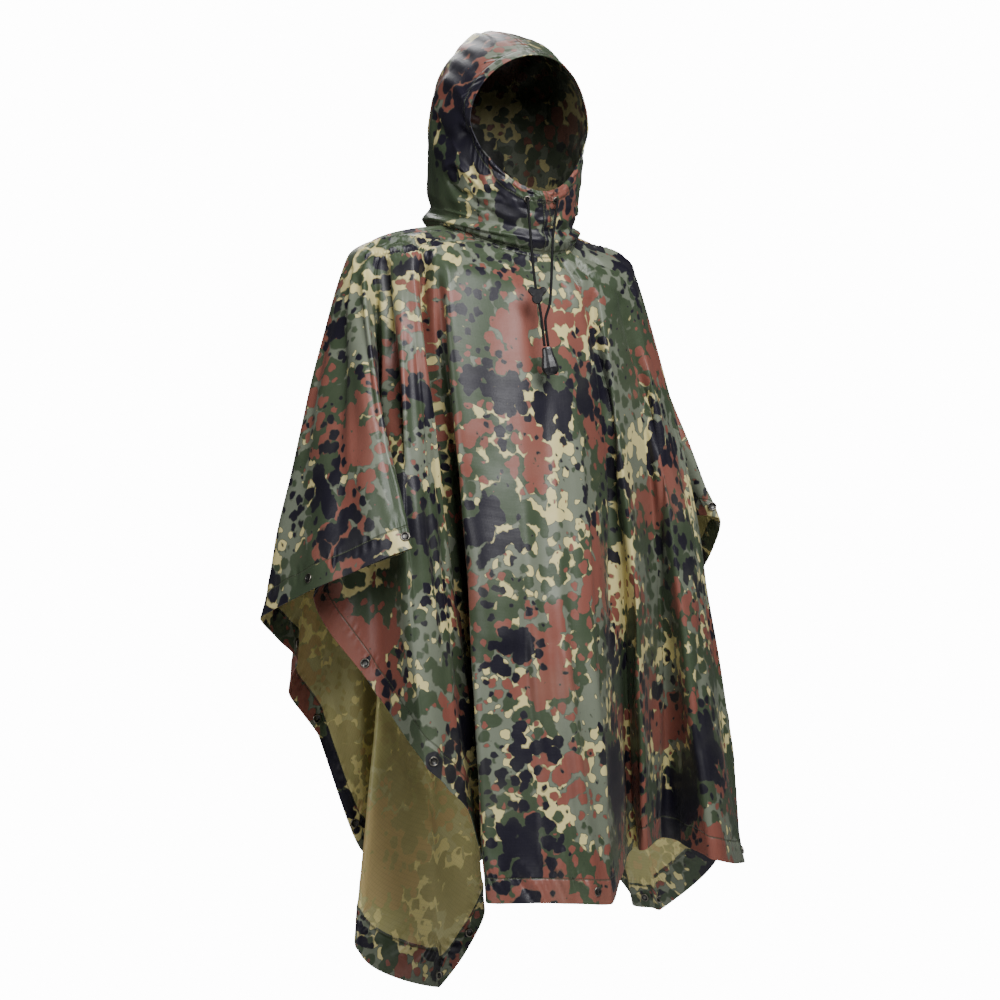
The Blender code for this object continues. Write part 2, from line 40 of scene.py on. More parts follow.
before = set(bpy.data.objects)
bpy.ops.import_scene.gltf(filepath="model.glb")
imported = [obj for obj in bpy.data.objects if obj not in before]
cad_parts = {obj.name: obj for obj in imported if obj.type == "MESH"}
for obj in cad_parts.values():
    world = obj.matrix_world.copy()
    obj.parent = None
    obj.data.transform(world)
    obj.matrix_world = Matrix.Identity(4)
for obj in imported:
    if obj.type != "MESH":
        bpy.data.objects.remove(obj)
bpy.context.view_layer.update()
LOG = logging.getLogger("poncho")

Point = tuple[float, float, float]
Material = bpy.types.Material
Socket = bpy.types.NodeSocket
Value = Union[Socket, float, tuple]  # what a node's input takes: a link or a plain value


# ---------------------------------------------------------------- sizes


@dataclass(frozen=True)
class ClothSizes:
    """The flat cut of the body and the thickness of its cloth."""

    half_width: float = 0.75
    half_length: float = 1.05
    neck_half_width: float = 0.100
    neck_half_depth: float = 0.120
    thickness: float = 0.0006
    hem_band: float = 0.036
    turned_ply: float = 0.0008
    stitch_inset: float = 0.002
    neck_stitch: float = 0.006
    fold_roundness: float = 0.70
    corner_sharpness: float = 0.85


@dataclass(frozen=True)
class ShoulderLine:
    """The ring where the cloth leaves the shoulders, chest and back and starts to hang."""

    left_width: float = 0.214
    right_width: float = 0.246
    chest_depth: float = 0.150
    back_depth: float = 0.140
    side_height: float = -0.027
    chest_height: float = -0.095
    back_height: float = -0.070
    neck_side: float = 0.014
    neck_front: float = -0.030
    neck_nape: float = 0.020


@dataclass(frozen=True)
class HoodSizes:
    """How the hood is turned, pinched at the chin and hemmed at the face."""

    turn: float = 7.0
    chin_pinch: float = 0.22
    seam_lift: float = -0.0006
    casing: float = 0.020
    stitch_inset: float = 0.002
    seam_stitch: float = 0.005
    thickness: float = 0.0006
    cut_across: float = 0.43
    cut_height: float = 0.49
    cut_area: float = 0.104


@dataclass(frozen=True)
class HardwareSizes:
    """Snaps, ring grommets and eyelets."""

    snap_radius: float = 0.0070
    grommet_radius: float = 0.0065
    grommet_hole: float = 0.0035
    eyelet_radius: float = 0.0050
    eyelet_hole: float = 0.0022
    segments: int = 32
    hole_segments: int = 24
    just_under: float = 0.0001  # where the search for the far face of the cloth starts
    thickest_ply: float = 0.005


@dataclass(frozen=True)
class Wrinkles:
    """Heights of the small waves and of what sewing does to the cloth, with how often they come."""

    fine_turns: int = 80
    fine_top: float = 0.0001
    fine_growth: float = 0.0003
    broad_turns: int = 40
    broad_growth: float = 0.0020
    fades_in: tuple[float, float] = (0.08, 0.30)  # shares of the way down
    deepens: tuple[float, float] = (0.12, 0.8)
    stitch_groove: float = 0.0007
    groove_width: float = 0.003
    hem_pucker: float = 0.0023
    pucker_pitch: float = 0.045
    pucker_lean: float = 60.0
    pucker_reach: float = 0.022
    neck_hold: float = 0.012
    hood_turns: int = 14
    hood_wave: float = 0.0008
    casing_rise: float = 0.0010
    casing_slope: float = 0.003
    gather: float = 0.0009
    gather_pitch: float = 9.0
    gather_reach: float = 50.0
    gather_depth: float = 0.06


class Fold(NamedTuple):
    """One line of the drape, from the neck seam to the edge of the cut."""

    cut_x: float  # where it meets the edge of the flat cut, wearer's left is positive
    cut_y: float  # wearer's front is positive
    turn: float  # degrees round the shoulder line: 0 front, 90 wearer's left, 180 back
    end_x: float  # where that edge hangs
    end_y: float
    end_z: float
    bow: float  # how far the line bends outwards half way down
    sway: float = 0.0  # and sideways, anticlockwise from above


CLOTH = ClothSizes()
WRINKLES = Wrinkles()
LEFT, RIGHT = CLOTH.half_width, -CLOTH.half_width
FRONT, BACK = CLOTH.half_length, -CLOTH.half_length

FOLDS = (
    # left arm, from its top to the front left corner
    Fold(LEFT, 0.00, 94, 0.388, 0.070, -0.550, 0.000),
    Fold(LEFT, 0.27, 87, 0.349, -0.083, -0.417, -0.008),
    Fold(LEFT, 0.42, 82, 0.300, 0.015, -0.435, -0.035),
    Fold(LEFT, 0.55, 77, 0.302, -0.077, -0.457, 0.000, -0.012),
    Fold(LEFT, 0.78, 72, 0.352, -0.080, -0.680, 0.010, -0.025),
    Fold(LEFT, FRONT, 68, 0.369, -0.120, -0.940, 0.010, -0.025),
    # front hem, from the wearer's left to the right
    Fold(0.59, FRONT, 62, 0.235, -0.212, -0.918, 0.010),
    Fold(0.47, FRONT, 50, 0.246, -0.088, -0.900, 0.020),
    Fold(0.33, FRONT, 29, 0.135, -0.183, -0.900, 0.020),
    Fold(0.24, FRONT, 20, 0.165, -0.107, -0.910, 0.020),
    Fold(0.02, FRONT, 4, 0.001, -0.287, -0.957, 0.020),
    Fold(-0.04, FRONT, -12, -0.056, -0.291, -0.952, 0.020),
    Fold(-0.11, FRONT, -33, -0.100, -0.269, -0.950, 0.020),
    Fold(-0.20, FRONT, -54, -0.168, -0.225, -0.950, 0.010),
    Fold(-0.44, FRONT, -60, -0.010, -0.075, -0.950, 0.020),
    # right side, from the front right corner back to the arm
    Fold(RIGHT, FRONT, -65, -0.096, -0.140, -0.965, 0.035),
    Fold(RIGHT, 0.90, -67, -0.170, -0.176, -0.821, 0.030),
    Fold(RIGHT, 0.78, -70, -0.245, -0.187, -0.758, 0.030),
    Fold(RIGHT, 0.66, -74, -0.258, -0.071, -0.658, 0.010),
    Fold(RIGHT, 0.47, -79, -0.339, -0.042, -0.525, -0.050),
    Fold(RIGHT, 0.29, -84, -0.281, -0.211, -0.454, 0.033),
    Fold(RIGHT, 0.16, -88, -0.355, -0.127, -0.499, 0.010),
    # right arm, from its top down to the back right corner
    Fold(RIGHT, 0.00, -94, -0.393, 0.017, -0.556, 0.012),
    Fold(RIGHT, -0.11, -100, -0.315, 0.061, -0.616, 0.010),
    Fold(RIGHT, -0.20, -105, -0.287, 0.127, -0.676, 0.000),
    Fold(RIGHT, -0.29, -109, -0.228, 0.148, -0.739, 0.000),
    Fold(RIGHT, -0.48, -117, -0.154, 0.148, -0.915, 0.000),
    Fold(RIGHT, -0.63, -124, -0.014, 0.176, -1.020, 0.030),
    Fold(RIGHT, -0.86, -132, -0.194, 0.090, -1.050, -0.020),
    Fold(RIGHT, BACK, -140, -0.022, 0.134, -1.133, 0.000),
    # back hem, from the wearer's right to the left
    Fold(-0.60, BACK, -147, 0.069, 0.146, -1.013, 0.000),
    Fold(-0.52, BACK, -154, 0.020, 0.205, -0.995, 0.010),
    Fold(-0.42, BACK, -162, 0.010, 0.275, -0.975, 0.010),
    Fold(-0.27, BACK, -171, 0.110, 0.200, -0.950, 0.000),
    Fold(-0.12, BACK, 179, 0.085, 0.330, -0.940, 0.010),
    Fold(0.03, BACK, 170, 0.190, 0.385, -0.935, -0.010),
    Fold(0.18, BACK, 161, 0.300, 0.360, -0.945, 0.000),
    Fold(0.33, BACK, 152, 0.335, 0.235, -0.965, 0.000),
    Fold(0.48, BACK, 143, 0.430, 0.355, -0.955, 0.000),
    Fold(0.62, BACK, 135, 0.432, 0.262, -1.055, 0.000),
    # left side, from the back left corner up to the arm
    Fold(LEFT, BACK, 128, 0.450, 0.208, -1.060, 0.000),
    Fold(LEFT, -0.80, 120, 0.461, 0.063, -0.949, 0.009, 0.051),
    Fold(LEFT, -0.60, 114, 0.347, 0.079, -0.822, -0.010),
    Fold(LEFT, -0.40, 108, 0.443, 0.036, -0.723, -0.015),
    Fold(LEFT, -0.20, 101, 0.395, 0.105, -0.635, -0.010),
)
RIGHT_ARM_FOLD = 22


class HoodLoop(NamedTuple):
    """One loop round the hood. The loops fan out from the chin to the nape, the crown and the face rim."""

    chin_y: float
    chin_z: float
    far_y: float
    far_z: float
    half_width: float
    side_back: float  # how far its sides lie behind the straight line from chin to far point
    side_up: float  # and above it


HOOD_LOOPS = (
    HoodLoop(-0.133, -0.012, 0.130, 0.036, 0.112, 0.000, 0.010),  # roll above the neck seam
    HoodLoop(-0.128, 0.004, 0.118, 0.054, 0.101, 0.000, 0.010),  # tuck between two rolls
    HoodLoop(-0.136, 0.017, 0.123, 0.080, 0.106, 0.000, 0.008),  # second roll
    HoodLoop(-0.136, 0.030, 0.113, 0.142, 0.110, 0.000, 0.000),
    HoodLoop(-0.138, 0.038, 0.101, 0.206, 0.115, 0.000, 0.000),
    HoodLoop(-0.139, 0.045, 0.077, 0.268, 0.115, 0.000, 0.000),
    HoodLoop(-0.140, 0.050, 0.020, 0.312, 0.108, 0.005, 0.000),  # crown
    HoodLoop(-0.140, 0.054, -0.056, 0.294, 0.102, 0.016, 0.000),
    HoodLoop(-0.139, 0.059, -0.126, 0.258, 0.096, 0.033, 0.000),  # rim of the face opening
)


class Crease(NamedTuple):
    """A soft ridge (positive height) or trough on a flat pattern, bowed sideways by up to its bow."""

    start_x: float
    start_y: float
    end_x: float
    end_y: float
    width: float
    height: float
    bow: float = 0.0


# On the body: metres on the flat cut from the middle of the neck, x to the wearer's left, y to the front hem.
BODY_CREASES = (
    # the front, long troughs that start at the neck and shoulders first
    Crease(-0.145, 0.154, -0.430, 0.660, 0.018, -0.0190, 0.012),
    Crease(-0.105, 0.160, -0.126, 0.460, 0.020, 0.0100),
    Crease(-0.235, 0.140, -0.440, 0.420, 0.015, -0.0140),
    Crease(-0.303, 0.071, -0.690, 0.245, 0.013, -0.0070, -0.010),
    Crease(-0.139, 0.150, -0.337, 0.536, 0.011, -0.0130, 0.008),
    Crease(-0.241, 0.145, -0.409, 0.360, 0.010, -0.0070),
    Crease(-0.185, 0.150, -0.370, 0.500, 0.016, 0.0050, 0.008),
    Crease(0.073, 0.180, 0.130, 0.411, 0.010, -0.0080),
    Crease(0.060, 0.170, 0.125, 0.420, 0.015, -0.0130),
    Crease(0.125, 0.400, 0.100, 0.720, 0.018, -0.0130),
    Crease(0.056, 0.117, 0.120, 0.195, 0.005, -0.0030),
    Crease(0.120, 0.195, 0.373, 0.533, 0.015, -0.0120, 0.010),
    Crease(0.046, 0.123, 0.145, 0.350, 0.010, 0.0040, 0.010),
    Crease(0.213, 0.301, 0.310, 0.440, 0.010, 0.0030),
    Crease(0.020, 0.140, 0.060, 0.300, 0.009, 0.0030),
    Crease(-0.030, 0.150, -0.050, 0.340, 0.012, 0.0030, 0.010),
    Crease(-0.080, 0.160, -0.110, 0.420, 0.013, 0.0035),
    Crease(-0.020, 0.300, -0.050, 0.620, 0.018, -0.0030, 0.010),
    Crease(-0.100, 0.450, -0.140, 0.800, 0.020, 0.0030, -0.010),
    Crease(0.030, 0.450, 0.020, 0.850, 0.018, -0.0030),
    Crease(-0.050, 0.620, -0.030, 0.980, 0.016, 0.0030),
    Crease(-0.180, 0.600, -0.200, 0.970, 0.014, -0.0040),
    Crease(-0.300, 0.660, -0.340, 0.950, 0.014, 0.0030),
    Crease(-0.250, 0.420, -0.300, 0.620, 0.010, 0.0030, 0.005),
    Crease(0.200, 0.620, 0.240, 0.980, 0.016, -0.0040),
    Crease(0.330, 0.600, 0.380, 0.970, 0.014, 0.0030),
    Crease(0.450, 0.620, 0.520, 0.930, 0.013, -0.0030),
    Crease(0.290, 0.450, 0.320, 0.700, 0.010, -0.0030),
    # a hollow and a swell low on the middle, and slanting puckers across its hem band
    Crease(-0.118, 0.690, -0.138, 1.120, 0.028, -0.0080),
    Crease(-0.040, 0.690, -0.008, 1.120, 0.026, 0.0060),
    Crease(-0.172, 0.990, -0.176, 1.075, 0.006, 0.0030),
    Crease(-0.160, 0.995, -0.118, 1.070, 0.006, -0.0035),
    Crease(-0.143, 1.000, -0.100, 1.070, 0.006, 0.0030),
    Crease(-0.098, 0.980, -0.056, 1.070, 0.007, -0.0040),
    Crease(-0.072, 0.985, -0.024, 1.034, 0.007, 0.0045),
    Crease(-0.038, 0.980, 0.004, 1.070, 0.006, -0.0035),
    # short gathers that spread from the neck over both shoulders
    Crease(-0.120, 0.122, -0.300, 0.020, 0.009, 0.0070, -0.025),
    Crease(-0.140, 0.138, -0.292, 0.055, 0.008, -0.0070, -0.035),
    Crease(0.053, 0.124, 0.140, 0.214, 0.007, -0.0070),
    Crease(-0.106, 0.020, -0.230, 0.030, 0.007, 0.0060),
    Crease(-0.104, 0.045, -0.220, 0.075, 0.006, -0.0075),
    Crease(-0.098, 0.065, -0.205, 0.110, 0.007, 0.0060),
    Crease(-0.090, 0.085, -0.180, 0.130, 0.006, -0.0075),
    Crease(-0.078, 0.102, -0.150, 0.160, 0.007, 0.0053),
    Crease(-0.060, 0.114, -0.105, 0.170, 0.006, -0.0053),
    Crease(0.106, 0.020, 0.230, 0.040, 0.007, 0.0060),
    Crease(0.102, 0.050, 0.220, 0.090, 0.006, -0.0083),
    Crease(0.094, 0.075, 0.205, 0.145, 0.007, 0.0067),
    Crease(0.077, 0.102, 0.170, 0.200, 0.007, -0.0097),
    Crease(0.060, 0.114, 0.130, 0.215, 0.007, 0.0067),
    Crease(0.030, 0.124, 0.060, 0.205, 0.006, -0.0053),
    Crease(-0.097, -0.060, -0.190, -0.110, 0.006, -0.0060),
    Crease(0.097, -0.060, 0.190, -0.110, 0.006, -0.0060),
    Crease(-0.060, -0.112, -0.110, -0.190, 0.007, 0.0053),
    Crease(0.060, -0.112, 0.110, -0.190, 0.007, 0.0053),
    # over the wearer's right arm
    Crease(-0.200, 0.050, -0.420, 0.090, 0.010, 0.0030, 0.010),
    Crease(-0.160, 0.090, -0.300, 0.150, 0.007, -0.0030),
    Crease(-0.340, 0.020, -0.600, 0.050, 0.011, -0.0030, 0.010),
    Crease(-0.450, 0.100, -0.680, 0.160, 0.010, 0.0030, -0.010),
    Crease(-0.550, 0.200, -0.700, 0.300, 0.009, -0.0030),
    Crease(-0.620, 0.050, -0.730, 0.120, 0.008, 0.0025),
    Crease(-0.400, 0.300, -0.520, 0.360, 0.007, -0.0020),
    Crease(-0.330, 0.220, -0.420, 0.240, 0.006, 0.0020),
    Crease(-0.620, 0.400, -0.700, 0.520, 0.009, -0.0030),
    # over the wearer's left arm
    Crease(0.180, 0.050, 0.400, 0.100, 0.010, 0.0030, -0.010),
    Crease(0.170, 0.120, 0.360, 0.200, 0.008, -0.0030),
    Crease(0.380, 0.020, 0.620, 0.060, 0.011, -0.0030),
    Crease(0.460, 0.140, 0.680, 0.220, 0.010, 0.0030, 0.010),
    Crease(0.560, 0.260, 0.710, 0.360, 0.009, -0.0030),
    Crease(0.440, 0.300, 0.620, 0.460, 0.010, 0.0030),
    # the back
    Crease(-0.070, -0.140, -0.120, -0.400, 0.013, -0.0040, 0.010),
    Crease(0.000, -0.140, 0.010, -0.440, 0.015, 0.0030),
    Crease(0.070, -0.140, 0.130, -0.420, 0.012, -0.0040, -0.010),
    Crease(0.130, -0.120, 0.300, -0.400, 0.012, -0.0040),
    Crease(-0.140, -0.110, -0.310, -0.380, 0.012, -0.0040),
    Crease(-0.220, -0.080, -0.500, -0.220, 0.011, 0.0030),
    Crease(0.220, -0.080, 0.500, -0.220, 0.011, 0.0030),
    Crease(-0.050, -0.420, -0.060, -0.800, 0.018, -0.0040),
    Crease(0.060, -0.450, 0.080, -0.860, 0.018, -0.0040),
    Crease(-0.180, -0.400, -0.220, -0.740, 0.015, 0.0030),
    Crease(0.200, -0.420, 0.240, -0.780, 0.015, 0.0030),
    Crease(-0.330, -0.450, -0.400, -0.840, 0.014, -0.0040),
    Crease(0.340, -0.480, 0.420, -0.860, 0.014, -0.0040),
    Crease(-0.020, -0.700, 0.000, -1.000, 0.014, 0.0030),
    Crease(0.140, -0.740, 0.150, -1.000, 0.014, -0.0030),
    Crease(-0.140, -0.760, -0.130, -1.000, 0.014, -0.0030),
    Crease(-0.500, -0.550, -0.600, -0.880, 0.013, 0.0030),
    Crease(0.500, -0.560, 0.600, -0.900, 0.013, 0.0030),
    Crease(-0.440, -0.120, -0.700, -0.180, 0.010, -0.0030),
    Crease(0.440, -0.100, 0.700, -0.160, 0.010, -0.0030),
    Crease(-0.400, -0.280, -0.620, -0.440, 0.011, -0.0030),
    Crease(0.420, -0.260, 0.640, -0.420, 0.011, -0.0030),
)

# On the hood: x is degrees round from the chin, wearer's left positive, and y per cent of the way up.
HOOD_CREASES = (
    # the wearer's right: two hollows behind the face and an eye-shaped pucker under them
    Crease(-104, 63, -76, 67, 5.0, -0.0060),
    Crease(-76, 67, -72, 96, 5.0, -0.0050),
    Crease(-82, 50, -52, 50, 3.0, 0.0035, 9),
    Crease(-82, 49, -54, 46, 3.5, -0.0045, -7),
    Crease(-66, 44, -44, 30, 4.0, -0.0040),
    Crease(-60, 40, -36, 50, 4.0, 0.0030),
    # tucks that are rolled together above the neck seam
    Crease(-120, 8, -30, 9, 1.8, -0.0040),
    Crease(-105, 13, -18, 13, 1.8, 0.0030),
    Crease(-112, 18, -40, 19, 2.0, -0.0045),
    Crease(-90, 23, -55, 22, 1.6, 0.0025),
    Crease(-70, 5, -12, 6, 1.5, 0.0020),
    Crease(24, 9, 118, 8, 1.8, -0.0040),
    Crease(16, 14, 100, 13, 1.8, 0.0030),
    Crease(36, 19, 110, 18, 2.0, -0.0040),
    Crease(130, 10, 176, 12, 2.0, -0.0030),
    Crease(-176, 12, -130, 11, 2.0, -0.0030),
    # the wearer's left
    Crease(100, 60, 74, 66, 5.0, -0.0050),
    Crease(74, 66, 70, 92, 5.0, -0.0040),
    Crease(80, 42, 50, 38, 3.5, -0.0040),
    Crease(60, 30, 40, 44, 3.5, 0.0030),
    # the back and the crown
    Crease(140, 24, 172, 30, 3.0, 0.0030),
    Crease(-172, 30, -140, 26, 3.0, 0.0030),
    Crease(-150, 96, -168, 66, 4.0, 0.0030),
    Crease(-125, 94, -150, 60, 5.0, -0.0030),
    Crease(-100, 95, -118, 62, 5.0, 0.0030),
    Crease(150, 96, 166, 68, 4.0, 0.0030),
    Crease(122, 94, 150, 62, 5.0, -0.0030),
    Crease(98, 95, 116, 60, 5.0, 0.0030),
)


# ---------------------------------------------------------------- curves and grids


def on_oval(degrees: float, half_width: float, front: float, back: float) -> tuple[float, float]:
    """(x, y) at this turn on an oval whose front and back have their own depths."""
    turn = math.radians(degrees)
    across, forwards = math.sin(turn), math.cos(turn)
    reach = 1 / math.hypot(across / half_width, forwards / (front if forwards > 0 else back))
    return reach * across, -reach * forwards


def tilted_height(degrees: float, side: float, front: float, back: float) -> float:
    """The height at this turn of a ring that has these heights at its side, front and back."""
    forwards = math.cos(math.radians(degrees))
    return side + ((front if forwards > 0 else back) - side) * forwards**2


def neck_point(degrees: float, line: ShoulderLine = ShoulderLine()) -> Point:
    """A point of the neck seam."""
    x, y = on_oval(degrees, CLOTH.neck_half_width, CLOTH.neck_half_depth, CLOTH.neck_half_depth)
    return x, y, tilted_height(degrees, line.neck_side, line.neck_front, line.neck_nape)


def shoulder_point(degrees: float, line: ShoulderLine = ShoulderLine()) -> Point:
    """A point of the line where the cloth starts to hang."""
    width = line.left_width if math.sin(math.radians(degrees)) > 0 else line.right_width
    x, y = on_oval(degrees, width, line.chest_depth, line.back_depth)
    return x, y, tilted_height(degrees, line.side_height, line.chest_height, line.back_height)


def curve_through(
    stations: Sequence[Point] | np.ndarray,
    steps: int | Sequence[int],
    closed: bool = False,
    softness: float | np.ndarray = 1.0,
) -> np.ndarray:
    """Points on a smooth curve through the stations, with round turns.

    Args:
        stations: Points, or grids of points, in order.
        steps: How many points each gap gets, or one count for each gap.
        closed: Whether the last station joins the first.
        softness: How round the turns are, 1 for all or one value for each station.

    Returns:
        The points of the curve, each shaped as a station is.
    """
    stations = np.asarray(stations, float)
    behind, ahead = strides(stations, closed)
    reach_ahead = np.linalg.norm(ahead, axis=-1, keepdims=True)
    reach_behind = np.linalg.norm(behind, axis=-1, keepdims=True)
    direction = unit(ahead / reach_ahead + behind / reach_behind)
    slopes = direction * np.minimum(reach_ahead, reach_behind) * CLOTH.fold_roundness * softness
    gaps = len(stations) if closed else len(stations) - 1
    counts = [steps] * gaps if isinstance(steps, int) else steps
    points = []
    for gap, count in zip(range(gaps), counts):
        after = (gap + 1) % len(stations)
        for t in np.arange(count) / count:
            points.append(
                stations[gap] * (2 * t**3 - 3 * t**2 + 1)
                + slopes[gap] * (t**3 - 2 * t**2 + t)
                + stations[after] * (3 * t**2 - 2 * t**3)
                + slopes[after] * (t**3 - t**2)
            )
    if not closed:
        points.append(stations[-1])
    return np.array(points)


def strides(points: np.ndarray, closed: bool) -> tuple[np.ndarray, np.ndarray]:
    """At each point the steps from the one before it and to the next, the end ones doubled on an open run."""
    ahead = np.roll(points, -1, axis=0) - points
    if not closed:
        ahead[-1] = ahead[-2]
    behind = np.roll(ahead, 1, axis=0)
    if not closed:
        behind[0] = ahead[0]
    return behind, ahead


def unit(vectors: np.ndarray) -> np.ndarray:
    """The vectors at length 1."""
    return vectors / np.maximum(np.linalg.norm(vectors, axis=-1, keepdims=True), 1e-12)


def grid_normals(grid: np.ndarray, closed: bool) -> np.ndarray:
    """Unit normals of a grid, outwards where its columns run towards the wearer's right at the front."""
    before, after = chords(grid, 0, closed)
    above, below = chords(grid, 1, False)
    down = above + below
    return unit(unit(np.cross(before, down)) + unit(np.cross(after, down)))


def chords(grid: np.ndarray, axis: int, closed: bool) -> tuple[np.ndarray, np.ndarray]:
    """At each point the unit directions from its neighbour and to the next one along an axis."""
    behind, ahead = strides(np.moveaxis(grid, axis, 0), closed)
    return np.moveaxis(unit(behind), 0, axis), np.moveaxis(unit(ahead), 0, axis)


def creased(pattern: np.ndarray, creases: Sequence[Crease]) -> np.ndarray:
    """How far the creases move each point of a flat pattern outwards.

    Args:
        pattern: Flat positions, (..., 2).
        creases: Ridges and troughs on that pattern.

    Returns:
        One height for each position.
    """
    height = np.zeros(pattern.shape[:-1])
    for crease in creases:
        start = np.array((crease.start_x, crease.start_y))
        along = np.array((crease.end_x, crease.end_y)) - start
        share = np.clip(((pattern - start) @ along) / (along @ along), 0, 1)
        sideways = np.array((-along[1], along[0])) / np.linalg.norm(along)
        nearest = start + share[..., None] * along
        nearest = nearest + (crease.bow * 4 * share * (1 - share))[..., None] * sideways
        off = np.linalg.norm(pattern - nearest, axis=-1) / crease.width
        # a crease is deepest before its middle, and the cloth beside it leans the other way
        taper = np.sin(np.pi * share**0.7) ** 0.5
        height += crease.height * taper * (1 - 0.6 * off**2) * np.exp(-(off**2))
    return height


def ripples(around: np.ndarray, down: np.ndarray, turns: int, seed: int, count: int = 40) -> np.ndarray:
    """Uneven soft waves that run down a cloth, about 1 high, from sines that close on themselves.

    Args:
        around: Place round the piece, 0 to 1.
        down: Place down the piece, 0 to 1.
        turns: The usual number of waves round it.
        seed: Which pattern.
        count: How many sines.

    Returns:
        One height for each place.
    """
    chance = np.random.default_rng(seed)
    height = np.zeros(np.broadcast(around, down).shape)
    for _ in range(count):
        waves = round(turns * chance.uniform(0.5, 1.8))
        lean, phase = chance.normal(0, 2.2), chance.uniform(0, math.tau)
        height += np.sin(math.tau * (waves * around + lean * down) + phase)
    return height * math.sqrt(2 / count)


def relaxed(flat: np.ndarray, grid: np.ndarray, closed: bool, rounds: int = 1200) -> np.ndarray:
    """A flat pattern eased until short distances on it are as long as they are on the cloth.

    Args:
        flat: First guess, (columns, rows, 2).
        grid: The cloth, (columns, rows, 3).
        closed: Whether the last column joins the first.
        rounds: How many times each distance is eased.

    Returns:
        The eased pattern, on which a print isn't stretched.
    """
    flat = flat.copy()
    count = np.arange(len(grid) if closed else len(grid) - 1)
    after = (count + 1) % len(grid)
    links = [
        ((count[:, None], np.arange(grid.shape[1])), (after[:, None], np.arange(grid.shape[1]))),
        ((slice(None), slice(0, -1)), (slice(None), slice(1, None))),
        ((count[:, None], np.arange(grid.shape[1] - 1)), (after[:, None], np.arange(1, grid.shape[1]))),
        ((count[:, None], np.arange(1, grid.shape[1])), (after[:, None], np.arange(grid.shape[1] - 1))),
    ]
    lengths = [np.linalg.norm(grid[b] - grid[a], axis=-1, keepdims=True) for a, b in links]
    for _ in range(rounds):
        for (a, b), length in zip(links, lengths):
            gap = flat[b] - flat[a]
            now = np.maximum(np.linalg.norm(gap, axis=-1, keepdims=True), 1e-6)
            step = gap * (0.22 * (1 - length / now))
            flat[a] += step
            flat[b] -= step
    return flat


def print_place(flat: np.ndarray, grid: np.ndarray, closed: bool, every: int = 4) -> np.ndarray:
    """Where each point of the cloth lies on the print, worked out on every few points and filled in between."""
    columns, rows = grid.shape[:2]
    kept_columns = np.unique(np.append(np.arange(0, columns, every), [] if closed else columns - 1)).astype(int)
    kept_rows = np.unique(np.append(np.arange(0, rows, every), rows - 1))
    coarse = relaxed(flat[np.ix_(kept_columns, kept_rows)], grid[np.ix_(kept_columns, kept_rows)], closed)
    if closed:
        coarse = np.concatenate([coarse, coarse[:1]])
        kept_columns = np.append(kept_columns, columns)
    down = np.stack(
        [[np.interp(np.arange(rows), kept_rows, line[:, axis]) for axis in (0, 1)] for line in coarse]
    )
    place = np.empty((columns, rows, 2))
    for axis in (0, 1):
        for row in range(rows):
            place[:, row, axis] = np.interp(np.arange(columns), kept_columns, down[:, axis, row])
    return place


def nearest_line(lines: Sequence[tuple[np.ndarray, np.ndarray]]) -> np.ndarray:
    """For each point, the place along and the distance past whichever line of stitches is nearest."""
    along, past = (np.stack(np.broadcast_arrays(*[line[k] for line in lines])) for k in (0, 1))
    nearest = np.argmin(np.abs(past), axis=0)[None]
    return np.stack([np.take_along_axis(values, nearest, axis=0)[0] for values in (along, past)], -1)


def run_along(grid: np.ndarray, axis: int) -> np.ndarray:
    """How far each point lies from the first one along an axis of the grid."""
    first = np.take(grid, [0], axis=axis)
    return np.cumsum(np.linalg.norm(np.diff(grid, axis=axis, prepend=first), axis=-1), axis=axis)


def smoothstep(low: float, high: float, value: np.ndarray) -> np.ndarray:
    """0 below low, 1 above high and smooth between them."""
    t = np.clip((value - low) / (high - low), 0, 1)
    return t * t * (3 - 2 * t)


# ---------------------------------------------------------------- node trees


def linear(hex_colour: str) -> tuple[float, float, float, float]:
    """An sRGB hex colour such as "4d5b3c" as linear light."""
    parts = [int(hex_colour[i : i + 2], 16) / 255 for i in (0, 2, 4)]
    return (*(p / 12.92 if p <= 0.04045 else ((p + 0.055) / 1.055) ** 2.4 for p in parts), 1.0)


